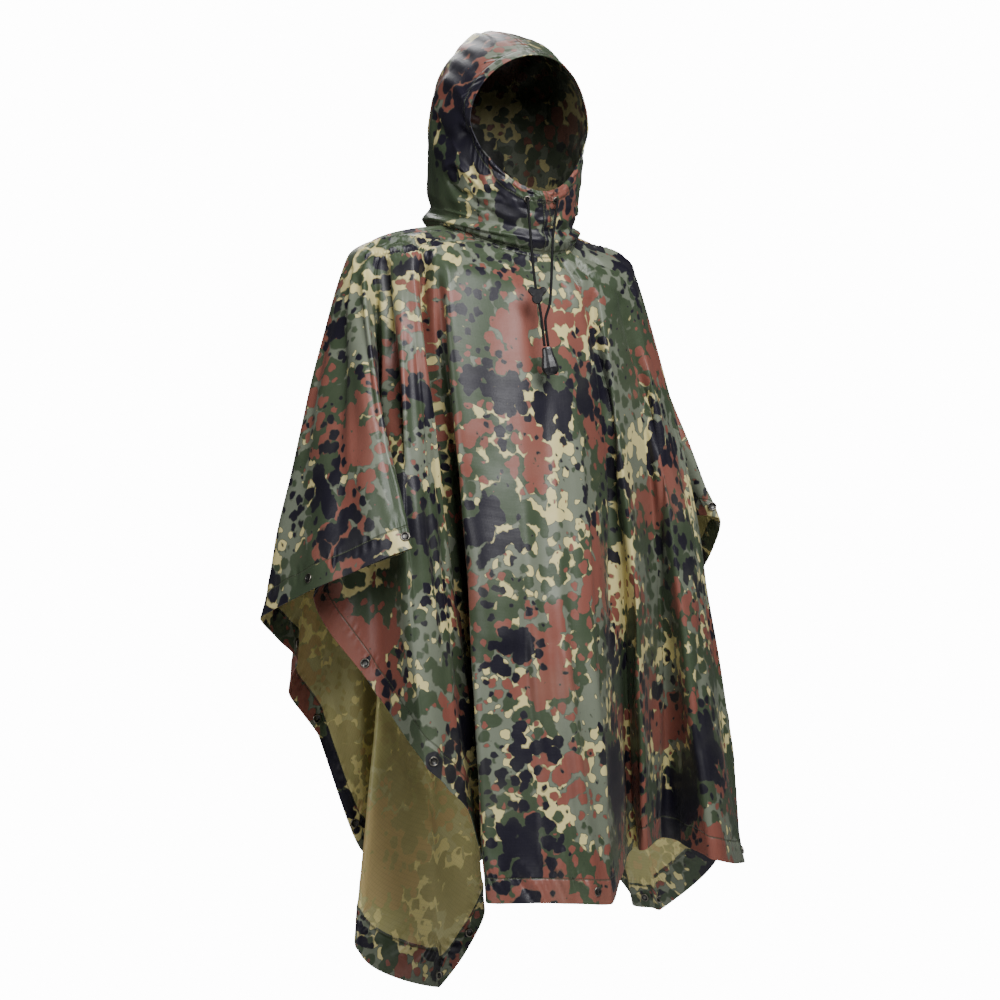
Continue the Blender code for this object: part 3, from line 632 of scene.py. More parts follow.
class Nodes:
    """Adds nodes to one tree, with their settings and links."""

    def __init__(self, tree: bpy.types.NodeTree) -> None:
        self.tree = tree

    def add(self, kind: str, inputs: dict | None = None, **settings) -> bpy.types.Node:
        """Adds a node.

        Args:
            kind: The node's type, without its ShaderNode prefix.
            inputs: Values or output sockets for its inputs, by name or number.
            settings: Its other settings.

        Returns:
            The new node.
        """
        node = self.tree.nodes.new(kind if kind.startswith("Node") else "ShaderNode" + kind)
        for name, value in settings.items():
            setattr(node, name, value)
        self.put(node, inputs or {})
        return node

    def put(self, node: bpy.types.Node, inputs: dict[str | int, Value]) -> None:
        """Sets or links inputs of a node, by name or number."""
        for name, value in inputs.items():
            if isinstance(value, Socket):
                self.tree.links.new(value, node.inputs[name])
            else:
                node.inputs[name].default_value = value

    def maths(self, operation: str, first: Value, second: Value = 0.0) -> Socket:
        """One sum on two numbers."""
        return self.add("Math", {0: first, 1: second}, operation=operation).outputs[0]

    def times(self, first: Value, second: Value) -> Socket:
        """The product of two numbers."""
        return self.maths("MULTIPLY", first, second)

    def step(self, value: Value, low: float, high: float) -> Socket:
        """0 below low, 1 above high."""
        inputs = {"Value": value, "From Min": low, "From Max": high}
        return self.add("MapRange", inputs, interpolation_type="SMOOTHSTEP").outputs[0]

    def between(self, share: Value, low: float, high: float) -> Socket:
        """This share of the way from low to high."""
        return self.add("MapRange", {"Value": share, "To Min": low, "To Max": high}).outputs[0]

    def mix(self, share: Value, first: Value, second: Value) -> Socket:
        """One colour over another."""
        return self.add("Mix", {0: share, 6: first, 7: second}, data_type="RGBA").outputs[2]

    def noise(self, vector: Socket, scale: float, detail: float = 2.0, **settings) -> Socket:
        """Soft noise, 0 to 1."""
        inputs = {"Vector": vector, "Scale": scale, "Detail": detail, **settings}
        return self.add("TexNoise", inputs).outputs[0]

    def bump(self, height: Value, distance: float, strength: float, normal: Socket | None = None) -> Socket:
        """A bump from a height of 0 to 1 that is this many metres deep."""
        inputs = {"Height": height, "Distance": distance, "Strength": strength}
        if normal is not None:
            inputs["Normal"] = normal
        return self.add("Bump", inputs).outputs[0]


# ---------------------------------------------------------------- finishes


def new_finish(name: str) -> tuple[Material, bpy.types.Node, Nodes]:
    """An empty material with its shader and what adds its nodes."""
    material = bpy.data.materials.new(name)
    material.use_nodes = True
    return material, material.node_tree.nodes["Principled BSDF"], Nodes(material.node_tree)


@dataclass(frozen=True)
class Tone:
    """One printed colour: how much of the cloth it takes and the place of its patches."""

    colour: str
    threshold: float
    shift: Point


class Face(Enum):
    """Which face of the cloth a finish is for."""

    PRINTED = "printed"
    COATED = "coated"
    HOOD_LINING = "hood_lining"


@dataclass(frozen=True)
class SpottedPrint:
    """Generic spotted camouflage in five colours: patches about 130 mm across, of ragged 22 mm spots."""

    ground: str = "62685a"
    tones: tuple[Tone, ...] = (
        Tone("bdb27b", 0.398, (3.1, 8.7, 0.0)),
        Tone("374230", 0.382, (11.3, 2.9, 0.0)),
        Tone("74453b", 0.440, (5.9, 14.2, 0.0)),
        Tone("16141f", 0.456, (17.7, 6.1, 0.0)),
    )
    patch_scale: float = 7.5
    spot_scale: float = 46.0
    spot_share: float = 0.30
    wander: float = 0.013
    edge: float = 0.006
    outline: str = "3a3f33"
    outline_share: float = 0.55

    def group(self) -> bpy.types.NodeTree:
        """The print as a node group from a flat position in metres to a colour."""
        tree = bpy.data.node_groups.get("spotted_print")
        if tree:
            return tree
        tree = bpy.data.node_groups.new("spotted_print", "ShaderNodeTree")
        tree.interface.new_socket("Position", in_out="INPUT", socket_type="NodeSocketVector")
        tree.interface.new_socket("Color", in_out="OUTPUT", socket_type="NodeSocketColor")
        nodes = Nodes(tree)
        place = nodes.add("NodeGroupInput").outputs[0]
        # the edge of each printed spot wanders by a few millimetres
        wander = nodes.add("TexNoise", {"Vector": place, "Scale": 80.0, "Detail": 1.5}).outputs["Color"]
        wander = nodes.add("VectorMath", {0: wander, 1: (0.5, 0.5, 0.5)}, operation="SUBTRACT").outputs[0]
        wander = nodes.add("VectorMath", {0: wander, "Scale": self.wander}, operation="SCALE").outputs[0]
        place = nodes.add("VectorMath", {0: place, 1: wander}, operation="ADD").outputs[0]
        colour = linear(self.ground)
        for tone in self.tones:
            moved = nodes.add("VectorMath", {0: place, 1: tone.shift}, operation="ADD").outputs[0]
            patch = nodes.noise(moved, self.patch_scale, 2.0, Roughness=0.45)
            inputs = {"Vector": moved, "Scale": self.spot_scale, "Smoothness": 0.25}
            settings = {"feature": "SMOOTH_F1", "voronoi_dimensions": "2D"}
            spot = nodes.add("TexVoronoi", inputs, **settings).outputs["Distance"]
            level = nodes.maths("SUBTRACT", patch, nodes.times(spot, self.spot_share))
            # the screens overlap by a millimetre, which leaves a thin dark line round each patch
            line = nodes.step(level, tone.threshold - 0.020, tone.threshold - 0.010)
            colour = nodes.mix(nodes.times(line, self.outline_share), colour, linear(self.outline))
            mask = nodes.step(level, tone.threshold - self.edge, tone.threshold + self.edge)
            colour = nodes.mix(mask, colour, linear(tone.colour))
        nodes.add("NodeGroupOutput", {0: colour})
        return tree


@dataclass(frozen=True)
class ClothFinish:
    """Plain-woven polyester with a rain-proof coating inside and a satin calendered face outside."""

    face: Face
    coat_colour: str = "d6cb86"
    coat_share: float = 0.47
    weave_colour: str = "5d5a36"
    weave_share: float = 0.18
    lining_shade_colour: str = "2c2e27"
    lining_shade_share: float = 0.64
    faded_colour: str = "7b7f6c"
    faded_share: float = 0.10
    thread_pitch: float = 0.0045
    thread_depth: float = 0.00006
    stitch_pitch: float = 0.0035
    stitch_colour: str = "4b5140"
    stitch_share: float = 0.6
    groove_shade_colour: str = "17190f"
    groove_shade_share: float = 0.45
    groove_depth: float = 0.0006
    crumple_depth: float = 0.006
    pucker_pitch: float = 0.013
    pucker_lean: float = 160.0
    pucker_depth: float = 0.0009
    roughness: float = 0.40
    refraction: float = 1.36
    sheen: float = 0.03
    sheen_roughness: float = 0.45
    pattern: SpottedPrint = SpottedPrint()

    def build(self) -> Material:
        """The material for this face."""
        material, shader, nodes = new_finish(f"cloth_{self.face.value}")
        place = nodes.add("UVMap", uv_map="cut").outputs[0]
        on_print = nodes.add("UVMap", uv_map="print").outputs[0]
        colour = nodes.add("Group", {0: on_print}, node_tree=self.pattern.group()).outputs[0]
        cloudy = nodes.noise(place, 9.0, 4.0)
        across = nodes.add("SeparateXYZ", {0: place})
        grid = self._ripstop(nodes, across.outputs[0], across.outputs[1])
        if self.face is Face.COATED:
            # the coat hides most of the print, which glows through where the cloth is thin
            colour = nodes.mix(self.coat_share, colour, linear(self.coat_colour))
            colour = nodes.mix(nodes.times(grid, self.weave_share), colour, linear(self.weave_colour))
        elif self.face is Face.HOOD_LINING:
            # the hood's inner face is the same print darkened as painted shade inside the hood
            colour = nodes.mix(self.lining_shade_share, colour, linear(self.lining_shade_colour))
        faded = nodes.times(nodes.step(cloudy, 0.45, 0.75), self.faded_share)
        colour = nodes.mix(faded, colour, linear(self.faded_colour))
        sewn = nodes.add("SeparateXYZ", {0: nodes.add("UVMap", uv_map="sewn").outputs[0]})
        along, off = sewn.outputs[0], nodes.maths("ABSOLUTE", sewn.outputs[1])
        in_stitch = nodes.maths("FRACT", nodes.maths("DIVIDE", along, self.stitch_pitch))
        stitch = nodes.step(in_stitch, 0.2, 0.35)
        thread = nodes.times(nodes.step(off, 0.0013, 0.0005), stitch)
        # a dark line along each row of stitches is painted shade in the stitch groove
        groove_shade = nodes.times(nodes.step(off, 0.0022, 0.0006), self.groove_shade_share)
        colour = nodes.mix(groove_shade, colour, linear(self.groove_shade_colour))
        colour = nodes.mix(nodes.times(thread, self.stitch_share), colour, linear(self.stitch_colour))
        inputs = {
            "Base Color": colour,
            "Normal": self._bumps(nodes, place, grid, along, sewn.outputs[1]),
            "Roughness": self.roughness,
            "IOR": self.refraction,
            "Sheen Weight": self.sheen,
            "Sheen Roughness": self.sheen_roughness,
        }
        nodes.put(shader, inputs)
        return material

    def _ripstop(self, nodes: Nodes, across: Socket, down: Socket) -> Socket:
        """1 on the thicker threads that cross the weave in small squares."""
        lines = []
        for axis in (across, down):
            wrapped = nodes.maths("FRACT", nodes.maths("DIVIDE", axis, self.thread_pitch))
            off = nodes.maths("ABSOLUTE", nodes.maths("SUBTRACT", wrapped, 0.5))
            lines.append(nodes.step(off, 0.10, 0.02))
        return nodes.maths("MAXIMUM", lines[0], lines[1])

    def _bumps(self, nodes: Nodes, place: Socket, grid: Socket, along: Socket, past: Socket) -> Socket:
        """Small crumples, weave squares and the puckers that sewing leaves.

        Args:
            nodes: Adds nodes to the material.
            place: Place on the flat cut.
            grid: 1 on the thicker threads.
            along: Place along the nearest line of stitches.
            past: Distance past it.

        Returns:
            The normal.
        """
        normal = nodes.bump(nodes.noise(place, 14.0, 3.0, Roughness=0.55), self.crumple_depth, 0.30)
        normal = nodes.bump(grid, self.thread_depth, 0.5, normal)
        off = nodes.maths("ABSOLUTE", past)
        lean = nodes.times(past, self.pucker_lean)
        turns = nodes.times(along, math.tau / self.pucker_pitch)
        wave = nodes.maths("SINE", nodes.maths("ADD", turns, lean))
        strength = nodes.step(nodes.noise(place, 22.0, 1.0), 0.40, 0.65)
        pucker = nodes.times(nodes.times(wave, strength), nodes.step(off, 0.020, 0.002))
        normal = nodes.bump(pucker, self.pucker_depth, 0.9, normal)
        return nodes.bump(nodes.step(off, 0.0, 0.0025), self.groove_depth, 0.9, normal)


@dataclass(frozen=True)
class MetalFinish:
    """Blackened brass, brighter where handling has worn it."""

    name: str
    colour: str
    roughness: float
    metallic: float = 1.0
    worn_colour: str = "8d8678"
    worn_share: float = 0.35
    polish: float = 0.1

    def build(self) -> Material:
        """The material."""
        material, shader, nodes = new_finish(self.name)
        place = nodes.add("TexCoord").outputs["Object"]
        worn = nodes.step(nodes.noise(place, 420.0, 3.0), 0.50, 0.72)
        share = nodes.times(worn, self.worn_share)
        colour = nodes.mix(share, linear(self.colour), linear(self.worn_colour))
        rough = nodes.between(worn, self.roughness, self.roughness - self.polish)
        nodes.put(shader, {"Base Color": colour, "Roughness": rough, "Metallic": self.metallic})
        return material


@dataclass(frozen=True)
class CordFinish:
    """Braided polyester, its strands crossing every 1.6 mm."""

    strand: float = 0.0016
    lean: float = 4.0
    depth: float = 0.0003
    crevice_shade: str = "040405"
    light: str = "121214"
    roughness: float = 0.75
    shine: float = 0.2

    def build(self) -> Material:
        """The material."""
        material, shader, nodes = new_finish("braided_cord")
        place = nodes.add("SeparateXYZ", {0: nodes.add("UVMap", uv_map="braid").outputs[0]})
        strands = []
        for sign in (1.0, -1.0):
            lean = nodes.times(place.outputs[0], sign * self.lean)
            run = nodes.maths("DIVIDE", place.outputs[1], self.strand)
            wave = nodes.maths("SINE", nodes.times(nodes.maths("ADD", lean, run), math.tau))
            strands.append(nodes.times(wave, 0.5))
        weave = nodes.maths("ADD", nodes.maths("MAXIMUM", strands[0], strands[1]), 0.5)
        # the braid is darker where its height is low: painted shade between the strands
        inputs = {
            "Base Color": nodes.mix(weave, linear(self.crevice_shade), linear(self.light)),
            "Normal": nodes.bump(weave, self.depth, 0.8),
            "Roughness": self.roughness,
            "Specular IOR Level": self.shine,
        }
        nodes.put(shader, inputs)
        return material


@dataclass(frozen=True)
class PlasticFinish:
    """Black moulded acetal with a fine spark-eroded grain."""

    colour: str = "17171a"
    scuffed: str = "3a3a3c"
    scuffed_share: float = 0.25
    roughness: float = 0.32
    scuffed_roughness: float = 0.5
    grain_depth: float = 0.00005

    def build(self) -> Material:
        """The material."""
        material, shader, nodes = new_finish("moulded_plastic")
        place = nodes.add("TexCoord").outputs["Object"]
        grain = nodes.noise(place, 2600.0, 2.0)
        scuffs = nodes.step(nodes.noise(place, 160.0, 3.0), 0.5, 0.8)
        share = nodes.times(scuffs, self.scuffed_share)
        inputs = {
            "Base Color": nodes.mix(share, linear(self.colour), linear(self.scuffed)),
            "Roughness": nodes.between(scuffs, self.roughness, self.scuffed_roughness),
            "Normal": nodes.bump(grain, self.grain_depth, 0.5),
        }
        nodes.put(shader, inputs)
        return material


# ---------------------------------------------------------------- pieces


class ClothFace(IntEnum):
    """The material numbers of a piece of cloth."""

    OUTSIDE = 0
    INSIDE = 1
    HEM_BAND = 2


class Metal(IntEnum):
    """The material numbers of a fastener."""

    RIM = 0
    RING = 1
    CENTRE = 2


def in_scene(name: str, data: bpy.types.ID) -> bpy.types.Object:
    """A new object with this data, linked to the scene."""
    thing = bpy.data.objects.new(name, data)
    bpy.context.scene.collection.objects.link(thing)
    return thing


def finished(work: bmesh.types.BMesh, name: str) -> bpy.types.Mesh:
    """The mesh of a work in the making, which is then let go."""
    mesh = bpy.data.meshes.new(name)
    work.to_mesh(mesh)
    work.free()
    return mesh


def put_on(pieces: Sequence[bpy.types.Object], *materials: Material) -> None:
    """Gives each piece these materials, in the order of their numbers."""
    for piece in pieces:
        for material in materials:
            piece.data.materials.append(material)


def new_piece(name: str, mesh: bpy.types.Mesh) -> bpy.types.Object:
    """Links a mesh to the scene as a piece of the garment, under the root body."""
    piece = in_scene(name, mesh)
    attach(piece, "root")
    LOG.info("made %s: %d faces", name, len(mesh.polygons))
    return piece


def shell_mesh(
    name: str,
    outer: np.ndarray,
    inner: np.ndarray,
    normals: np.ndarray,
    pattern: np.ndarray,
    printed: np.ndarray,
    sewn: np.ndarray,
    inner_material: np.ndarray,
) -> bpy.types.Mesh:
    """A thin closed shell between two grids of points, with its flat cut, print and sewing as UV maps.

    Args:
        name: The mesh's name.
        outer: The outer face, (columns, rows, 3).
        inner: The inner face, shaped as the outer one.
        normals: Outward normals of both.
        pattern: Place of each point on the flat cut in metres, (columns, rows, 2).
        printed: Its place on the print.
        sewn: Its place along the nearest line of stitches and its distance past it.
        inner_material: Material number of the inner face for each cell, (columns - 1, rows - 1).

    Returns:
        The mesh, whose outer face and edges have the outside's material.
    """
    columns, rows = outer.shape[:2]
    count = columns * rows
    place = np.arange(count).reshape(columns, rows)
    a, b, c, d = place[:-1, :-1], place[1:, :-1], place[1:, 1:], place[:-1, 1:]
    outside = np.stack([a, b, c, d], -1).reshape(-1, 4)
    inside = np.stack([a, d, c, b], -1).reshape(-1, 4) + count
    rim = np.concatenate([place[:, 0], place[-1, 1:], place[-2::-1, -1], place[0, -2:0:-1]])
    after = np.roll(rim, -1)
    edge = np.stack([rim, rim + count, after + count, after], -1)
    faces = np.concatenate([outside, inside, edge])
    points = np.concatenate([outer.reshape(-1, 3), inner.reshape(-1, 3)])
    mesh = bpy.data.meshes.new(name)
    mesh.from_pydata(points.tolist(), [], faces.tolist())
    for layer, flat in (("cut", pattern), ("print", printed), ("sewn", sewn)):
        both = np.concatenate([flat.reshape(-1, 2)] * 2)
        uv = mesh.uv_layers.new(name=layer)
        uv.data.foreach_set("uv", both[faces.reshape(-1)].astype(np.float32).reshape(-1))
    number = np.full(len(faces), ClothFace.OUTSIDE, np.int32)
    number[len(outside) : len(outside) * 2] = inner_material.reshape(-1)
    mesh.polygons.foreach_set("material_index", number)
    mesh.shade_smooth()
    outwards = np.concatenate([normals.reshape(-1, 3), -normals.reshape(-1, 3)])
    loops = outwards[faces.reshape(-1)]
    loops[-4 * len(edge) :] = 0
    mesh.normals_split_custom_set(loops.tolist())
    return mesh


class DrapedSheet:
    """The body of the poncho: one rectangular sheet with a neck hole, hemmed all round."""

    steps_down = (24, 32, 40)
    steps_between = 16
    main_rows = 96
    band_rows = 9
    shortest_reach = 0.02

    def __init__(self, sizes: ClothSizes) -> None:
        self.sizes = sizes
        self.grid = self.normals = self.pattern = np.empty(0)
        self.shares = self.sewn = self.printed = np.empty(0)
        self.pieces: list[bpy.types.Object] = []

    def build(self) -> "DrapedSheet":
        """Works out the draped surface and makes its front and back."""
        self._drape()
        self._wrinkle()
        right_arm = RIGHT_ARM_FOLD * self.steps_between
        total = len(self.grid)
        front = np.arange(0, right_arm + 1)
        back = np.arange(right_arm, total + 1) % total
        for name, columns in (("front_panel", front), ("back_panel", back)):
            self._panel(name, columns)
        return self

    def _drape(self) -> None:
        """The middle surface, a column for each step round and rows that follow the edge of the cut."""
        lines = np.array([curve_through(self._stations(fold), self.steps_down) for fold in FOLDS])
        share = np.linspace(0, 1, lines.shape[1])[None, :, None]
        corner = np.array([abs(f.cut_x) == LEFT and abs(f.cut_y) == FRONT for f in FOLDS])
        softness = 1 - self.sizes.corner_sharpness * corner[:, None, None] * share**4
        dense = curve_through(lines, self.steps_between, closed=True, softness=softness)
        run = run_along(dense, 1)
        run /= run[:, -1:]
        neck, edge = self._cut_ends()
        shares = self._row_shares(neck, edge)
        self.grid = np.array(
            [
                np.stack([np.interp(shares[c], run[c], dense[c, :, axis]) for axis in range(3)], -1)
                for c in range(len(dense))
            ]
        )
        self.pattern = neck[:, None] + (edge - neck)[:, None] * shares[..., None]
        self.shares = shares

    def _stations(self, fold: Fold) -> tuple:
        """The neck, shoulder, half-way and edge points of one fold line."""
        shoulder = np.array(shoulder_point(fold.turn))
        end = np.array((fold.end_x, fold.end_y, fold.end_z))
        middle = (shoulder + end) / 2
        outwards = unit(np.array((middle[0], middle[1], 0.0)))
        middle += fold.bow * outwards + fold.sway * np.array((-outwards[1], outwards[0], 0.0))
        return neck_point(fold.turn), shoulder, middle, end

    def _cut_ends(self) -> tuple[np.ndarray, np.ndarray]:
        """Where each column starts and ends on the flat cut."""
        neck, edge = [], []
        for fold, after in zip(FOLDS, FOLDS[1:] + FOLDS[:1]):
            swing = (after.turn - fold.turn) % -360
            for t in np.arange(self.steps_between) / self.steps_between:
                x, y, _ = neck_point(fold.turn + swing * t)
                neck.append((x, -y))
                reach = (after.cut_x - fold.cut_x, after.cut_y - fold.cut_y)
                edge.append((fold.cut_x + reach[0] * t, fold.cut_y + reach[1] * t))
        return np.array(neck), np.array(edge)

    def _row_shares(self, neck: np.ndarray, edge: np.ndarray) -> np.ndarray:
        """How far down its column each row lies: even rows, then rows at even distances from the edge."""
        half = np.array((self.sizes.half_width, self.sizes.half_length))
        spare = half - np.abs(edge)
        reach = np.maximum(np.abs(edge) - np.abs(neck), self.shortest_reach)
        rows = []
        for distance in np.linspace(self.sizes.hem_band, 0, self.band_rows + 1):
            rows.append(1 - np.max(np.maximum(distance - spare, 0) / reach, axis=1))
        band = np.stack(rows, axis=1)
        main = band[:, :1] * np.linspace(0, 1, self.main_rows)[None, :-1]
        return np.concatenate([main, band], axis=1)

    def _stitch_lines(self) -> np.ndarray:
        """Where each point lies on the hem's line of stitches or the neck's."""
        x, y = self.pattern[..., 0], self.pattern[..., 1]
        from_side = self.sizes.half_width - np.abs(x)
        from_end = self.sizes.half_length - np.abs(y)
        hem = np.minimum(from_side, from_end) - self.sizes.hem_band + self.sizes.stitch_inset
        round_neck = np.hypot(x / self.sizes.neck_half_width, y / self.sizes.neck_half_depth) - 1
        neck = round_neck * self.sizes.neck_half_depth - self.sizes.neck_stitch
        turn = np.arctan2(x, y) * self.sizes.neck_half_depth
        return nearest_line([(np.where(from_side < from_end, y, x), hem), (turn, neck)])

    def _wrinkle(self) -> None:
        """Moves the surface by its creases, its sewing and uneven waves down the folds."""
        around = (np.arange(len(self.grid)) / len(self.grid))[:, None]
        size = WRINKLES
        deeper = smoothstep(*size.deepens, self.shares)
        waves = ripples(around, self.shares, size.fine_turns, seed=7)
        waves *= size.fine_top + size.fine_growth * deeper
        broad = ripples(around, self.shares, size.broad_turns, seed=12) * size.broad_growth * deeper
        height = (waves + broad) * smoothstep(*size.fades_in, self.shares)
        height += creased(self.pattern, BODY_CREASES)
        self.sewn = self._stitch_lines()
        along, past = self.sewn[..., 0], self.sewn[..., 1]
        height -= size.stitch_groove * np.exp(-((past / size.groove_width) ** 2))
        # the puckers come and go along the hem
        uneven = 0.5 + 0.5 * np.sin(along * 9.0) * np.sin(along * 23.0 + 1.0)
        pucker = np.sin(math.tau * along / size.pucker_pitch + past * size.pucker_lean)
        height += size.hem_pucker * uneven * pucker * np.exp(-((past / size.pucker_reach) ** 2))
        height *= smoothstep(0.0, size.neck_hold, self.shares)  # the neck seam itself stays shut
        normals = grid_normals(self.grid, closed=True)
        self.grid += normals * height[..., None]
        self.normals = grid_normals(self.grid, closed=True)
        self.printed = print_place(self.pattern, self.grid, closed=True)

    def _panel(self, name: str, columns: np.ndarray) -> None:
        """One half of the sheet, from the top of one arm to the other."""
        grid, normals, pattern = self.grid[columns], self.normals[columns], self.pattern[columns]
        printed, sewn = self.printed[columns], self.sewn[columns]
        half = self.sizes.thickness / 2
        in_band = np.zeros(grid.shape[:2])
        in_band[:, self.main_rows :] = 1
        inner = grid - normals * (half + self.sizes.turned_ply * in_band)[..., None]
        faces_in = np.full((grid.shape[0] - 1, grid.shape[1] - 1), ClothFace.INSIDE, np.int32)
        faces_in[:, self.main_rows - 1 :] = ClothFace.HEM_BAND
        outer = grid + normals * half
        mesh = shell_mesh(f"{name}_cloth", outer, inner, normals, pattern, printed, sewn, faces_in)
        piece = new_piece(f"{name}_cloth", mesh)
        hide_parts(name)
        self.pieces.append(piece)

    def dress(self, outside: Material, inside: Material, band: Material) -> None:
        """Gives the cloth its printed face, its coated face and the printed face of the turned hem band."""
        put_on(self.pieces, outside, inside, band)


class Hood:
    """Two halves joined over the crown, gathered into rolls at the neck and hemmed round the face."""

    columns = 72
    steps = 12
    print_at = (6.05, 5.25)  # where the hood's pieces lie on the print, well away from the body's

    def __init__(self, sizes: HoodSizes) -> None:
        self.sizes = sizes
        self.pieces: list[bpy.types.Object] = []

    def build(self) -> "Hood":
        """Makes the wearer's left and right halves."""
        for side, name in ((1, "hood_left"), (-1, "hood_right")):
            self._half(side, name)
        return self

    def _point(self, loop: HoodLoop, around: float, pinch: float) -> Point:
        """The point at this angle round one loop: 0 at the chin, 180 at its far point."""
        angle = math.radians(around)
        width = loop.half_width * (1 - pinch * max(math.cos(angle), 0))
        share = (1 - math.cos(angle)) / 2
        side = math.sin(angle) ** 2
        return (
            width * math.sin(angle),
            loop.chin_y + (loop.far_y - loop.chin_y) * share + loop.side_back * side,
            loop.chin_z + (loop.far_z - loop.chin_z) * share + loop.side_up * side,
        )

    def _half(self, side: int, name: str) -> None:
        """One half as a shell with a casing at its rim."""
        angles = np.linspace(0, 180, self.columns + 1)
        grid = self._turned_fan(side, angles)
        grid = grid + grid_normals(grid, closed=False) * side * self._relief(grid, side, angles)[..., None]
        normals = grid_normals(grid, closed=False) * side
        run_up, run_round = run_along(grid, 1), run_along(grid, 0)
        to_rim = run_up[:, -1:] - run_up
        across, up = self.print_at
        pattern = np.stack([side * run_round + across, run_up - run_up[:, -1:] + up], -1)
        seam = self.sizes.seam_stitch
        sewn = nearest_line(
            [
                (run_round, to_rim - self.sizes.casing + self.sizes.stitch_inset),
                (run_up, run_round[-1:] - run_round - seam),
                (run_up, run_round - seam),
                (run_round, run_up - seam),
            ]
        )
        in_casing = (to_rim < self.sizes.casing).astype(float)
        half = self.sizes.thickness / 2
        outer = grid + normals * half
        inner = grid - normals * (half + WRINKLES.casing_rise * in_casing)[..., None]
        lining = np.full((grid.shape[0] - 1, grid.shape[1] - 1), ClothFace.INSIDE, np.int32)
        layers = [outer, inner, normals, pattern, print_place(pattern, grid, closed=False), sewn]
        if side < 0:
            layers = [layer[::-1] for layer in layers]
        mesh = shell_mesh(f"{name}_cloth", *layers, lining)
        piece = new_piece(f"{name}_cloth", mesh)
        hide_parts(name)
        self.pieces.append(piece)

    def _turned_fan(self, side: int, angles: np.ndarray) -> np.ndarray:
        """The middle surface of one half, from the neck seam up to the rim, with the hood's turn in it."""
        raised = np.linspace(0, 1, len(HOOD_LOOPS) + 1)
        grid = []
        for around in angles:
            angle = math.radians(around)
            x = CLOTH.neck_half_width * math.sin(angle)
            y = -CLOTH.neck_half_depth * math.cos(angle)
            turn = math.degrees(math.atan2(x, -y))
            stations = [(x, y, neck_point(turn)[2] + self.sizes.seam_lift)]
            stations += [
                self._point(loop, around, self.sizes.chin_pinch * up)
                for loop, up in zip(HOOD_LOOPS, raised[1:])
            ]
            line = curve_through(np.array(stations), self.steps)
            line[:, 0] = np.maximum(line[:, 0], 0.0) * side
            grid.append(line)
        grid = np.array(grid)
        twist = np.radians(self.sizes.turn) * np.linspace(0, 1, grid.shape[1])
        x, y = grid[..., 0].copy(), grid[..., 1].copy()
        grid[..., 0] = x * np.cos(twist) + y * np.sin(twist)
        grid[..., 1] = y * np.cos(twist) - x * np.sin(twist)
        return grid

    def _relief(self, grid: np.ndarray, side: int, angles: np.ndarray) -> np.ndarray:
        """How far creases, waves, the casing and its gathers move each point outwards."""
        up = np.linspace(0, 1, grid.shape[1])
        place = np.stack(np.broadcast_arrays((angles * side)[:, None], up[None, :]), -1)
        edge_calm = (smoothstep(0.10, 0.30, up) * smoothstep(1.0, 0.85, up))[None, :]
        edge_calm = edge_calm * smoothstep(180, 172, angles)[:, None]
        edge_calm = edge_calm * smoothstep(0, 6, angles)[:, None]
        height = creased(place * (1.0, 100.0), HOOD_CREASES) * smoothstep(0, 0.03, up)[None, :]
        height = height * smoothstep(0, 10, angles)[:, None] * smoothstep(180, 171, angles)[:, None]
        waves = ripples(angles[:, None] / 360 * side, up[None, :] * 1.5, WRINKLES.hood_turns, seed=5)
        height = height + waves * WRINKLES.hood_wave * edge_calm
        run_up = run_along(grid, 1)
        to_rim = run_up[:, -1:] - run_up
        hemmed = smoothstep(self.sizes.casing, self.sizes.casing - WRINKLES.casing_slope, to_rim)
        gathers = np.sin(math.tau * angles / WRINKLES.gather_pitch)[:, None]
        gathers = gathers * np.exp(-((angles / WRINKLES.gather_reach) ** 2))[:, None]
        height = height + WRINKLES.casing_rise * hemmed
        return height + WRINKLES.gather * gathers * smoothstep(WRINKLES.gather_depth, 0.0, to_rim)

    def dress(self, outside: Material, lining: Material) -> None:
        """Gives the hood its printed face and, inside, the print darkened with painted shade."""
        put_on(self.pieces, outside, lining)


def turned(
    profile: Sequence[tuple[float, float, int]], matrix: Matrix, segments: int, work: bmesh.types.BMesh
) -> None:
    """Adds a round solid to a mesh in the making.

    Args:
        profile: (radius, height, material number) of each point, from the axis or round a ring.
        matrix: Where the solid goes, its own axis along Z.
        segments: How many steps round.
        work: The mesh it is added to.
    """
    ring = profile[0][0] > 0
    rows = []
    for radius, height, _ in profile:
        steps = 1 if radius == 0 else segments
        rows.append(
            [
                work.verts.new(matrix @ Vector((radius * math.cos(a), radius * math.sin(a), height)))
                for a in (math.tau * k / steps for k in range(steps))
            ]
        )
    pairs = list(zip(rows, rows[1:], profile))
    if ring:
        pairs.append((rows[-1], rows[0], profile[-1]))
    for inner, outer, (_, _, number) in pairs:
        for k in range(segments):
            after = (k + 1) % segments
            near = [inner[k % len(inner)], outer[k % len(outer)]]
            far = [outer[after % len(outer)], inner[after % len(inner)]]
            unique = list(dict.fromkeys(near + far))
            if len(unique) > 2:
                face = work.faces.new(unique)
                face.material_index = number
                face.smooth = True


def facing(point: Vector, normal: Vector) -> Matrix:
    """A matrix whose Z is this normal, at this point."""
    return Matrix.Translation(point) @ normal.to_track_quat("Z", "Y").to_matrix().to_4x4()


# share of the snap's radius, height and metal, from its axis outwards
SNAP_FACE = (
    (0.0, 0.0006, Metal.CENTRE),
    (0.30, 0.0006, Metal.CENTRE),
    (0.42, 0.0009, Metal.RING),
    (0.66, 0.0011, Metal.RING),
    (0.76, 0.0019, Metal.RIM),
    (0.90, 0.0020, Metal.RIM),
    (0.99, 0.0012, Metal.RIM),
    (1.0, -0.0002, Metal.RIM),
    (0.0, -0.0002, Metal.RIM),
)


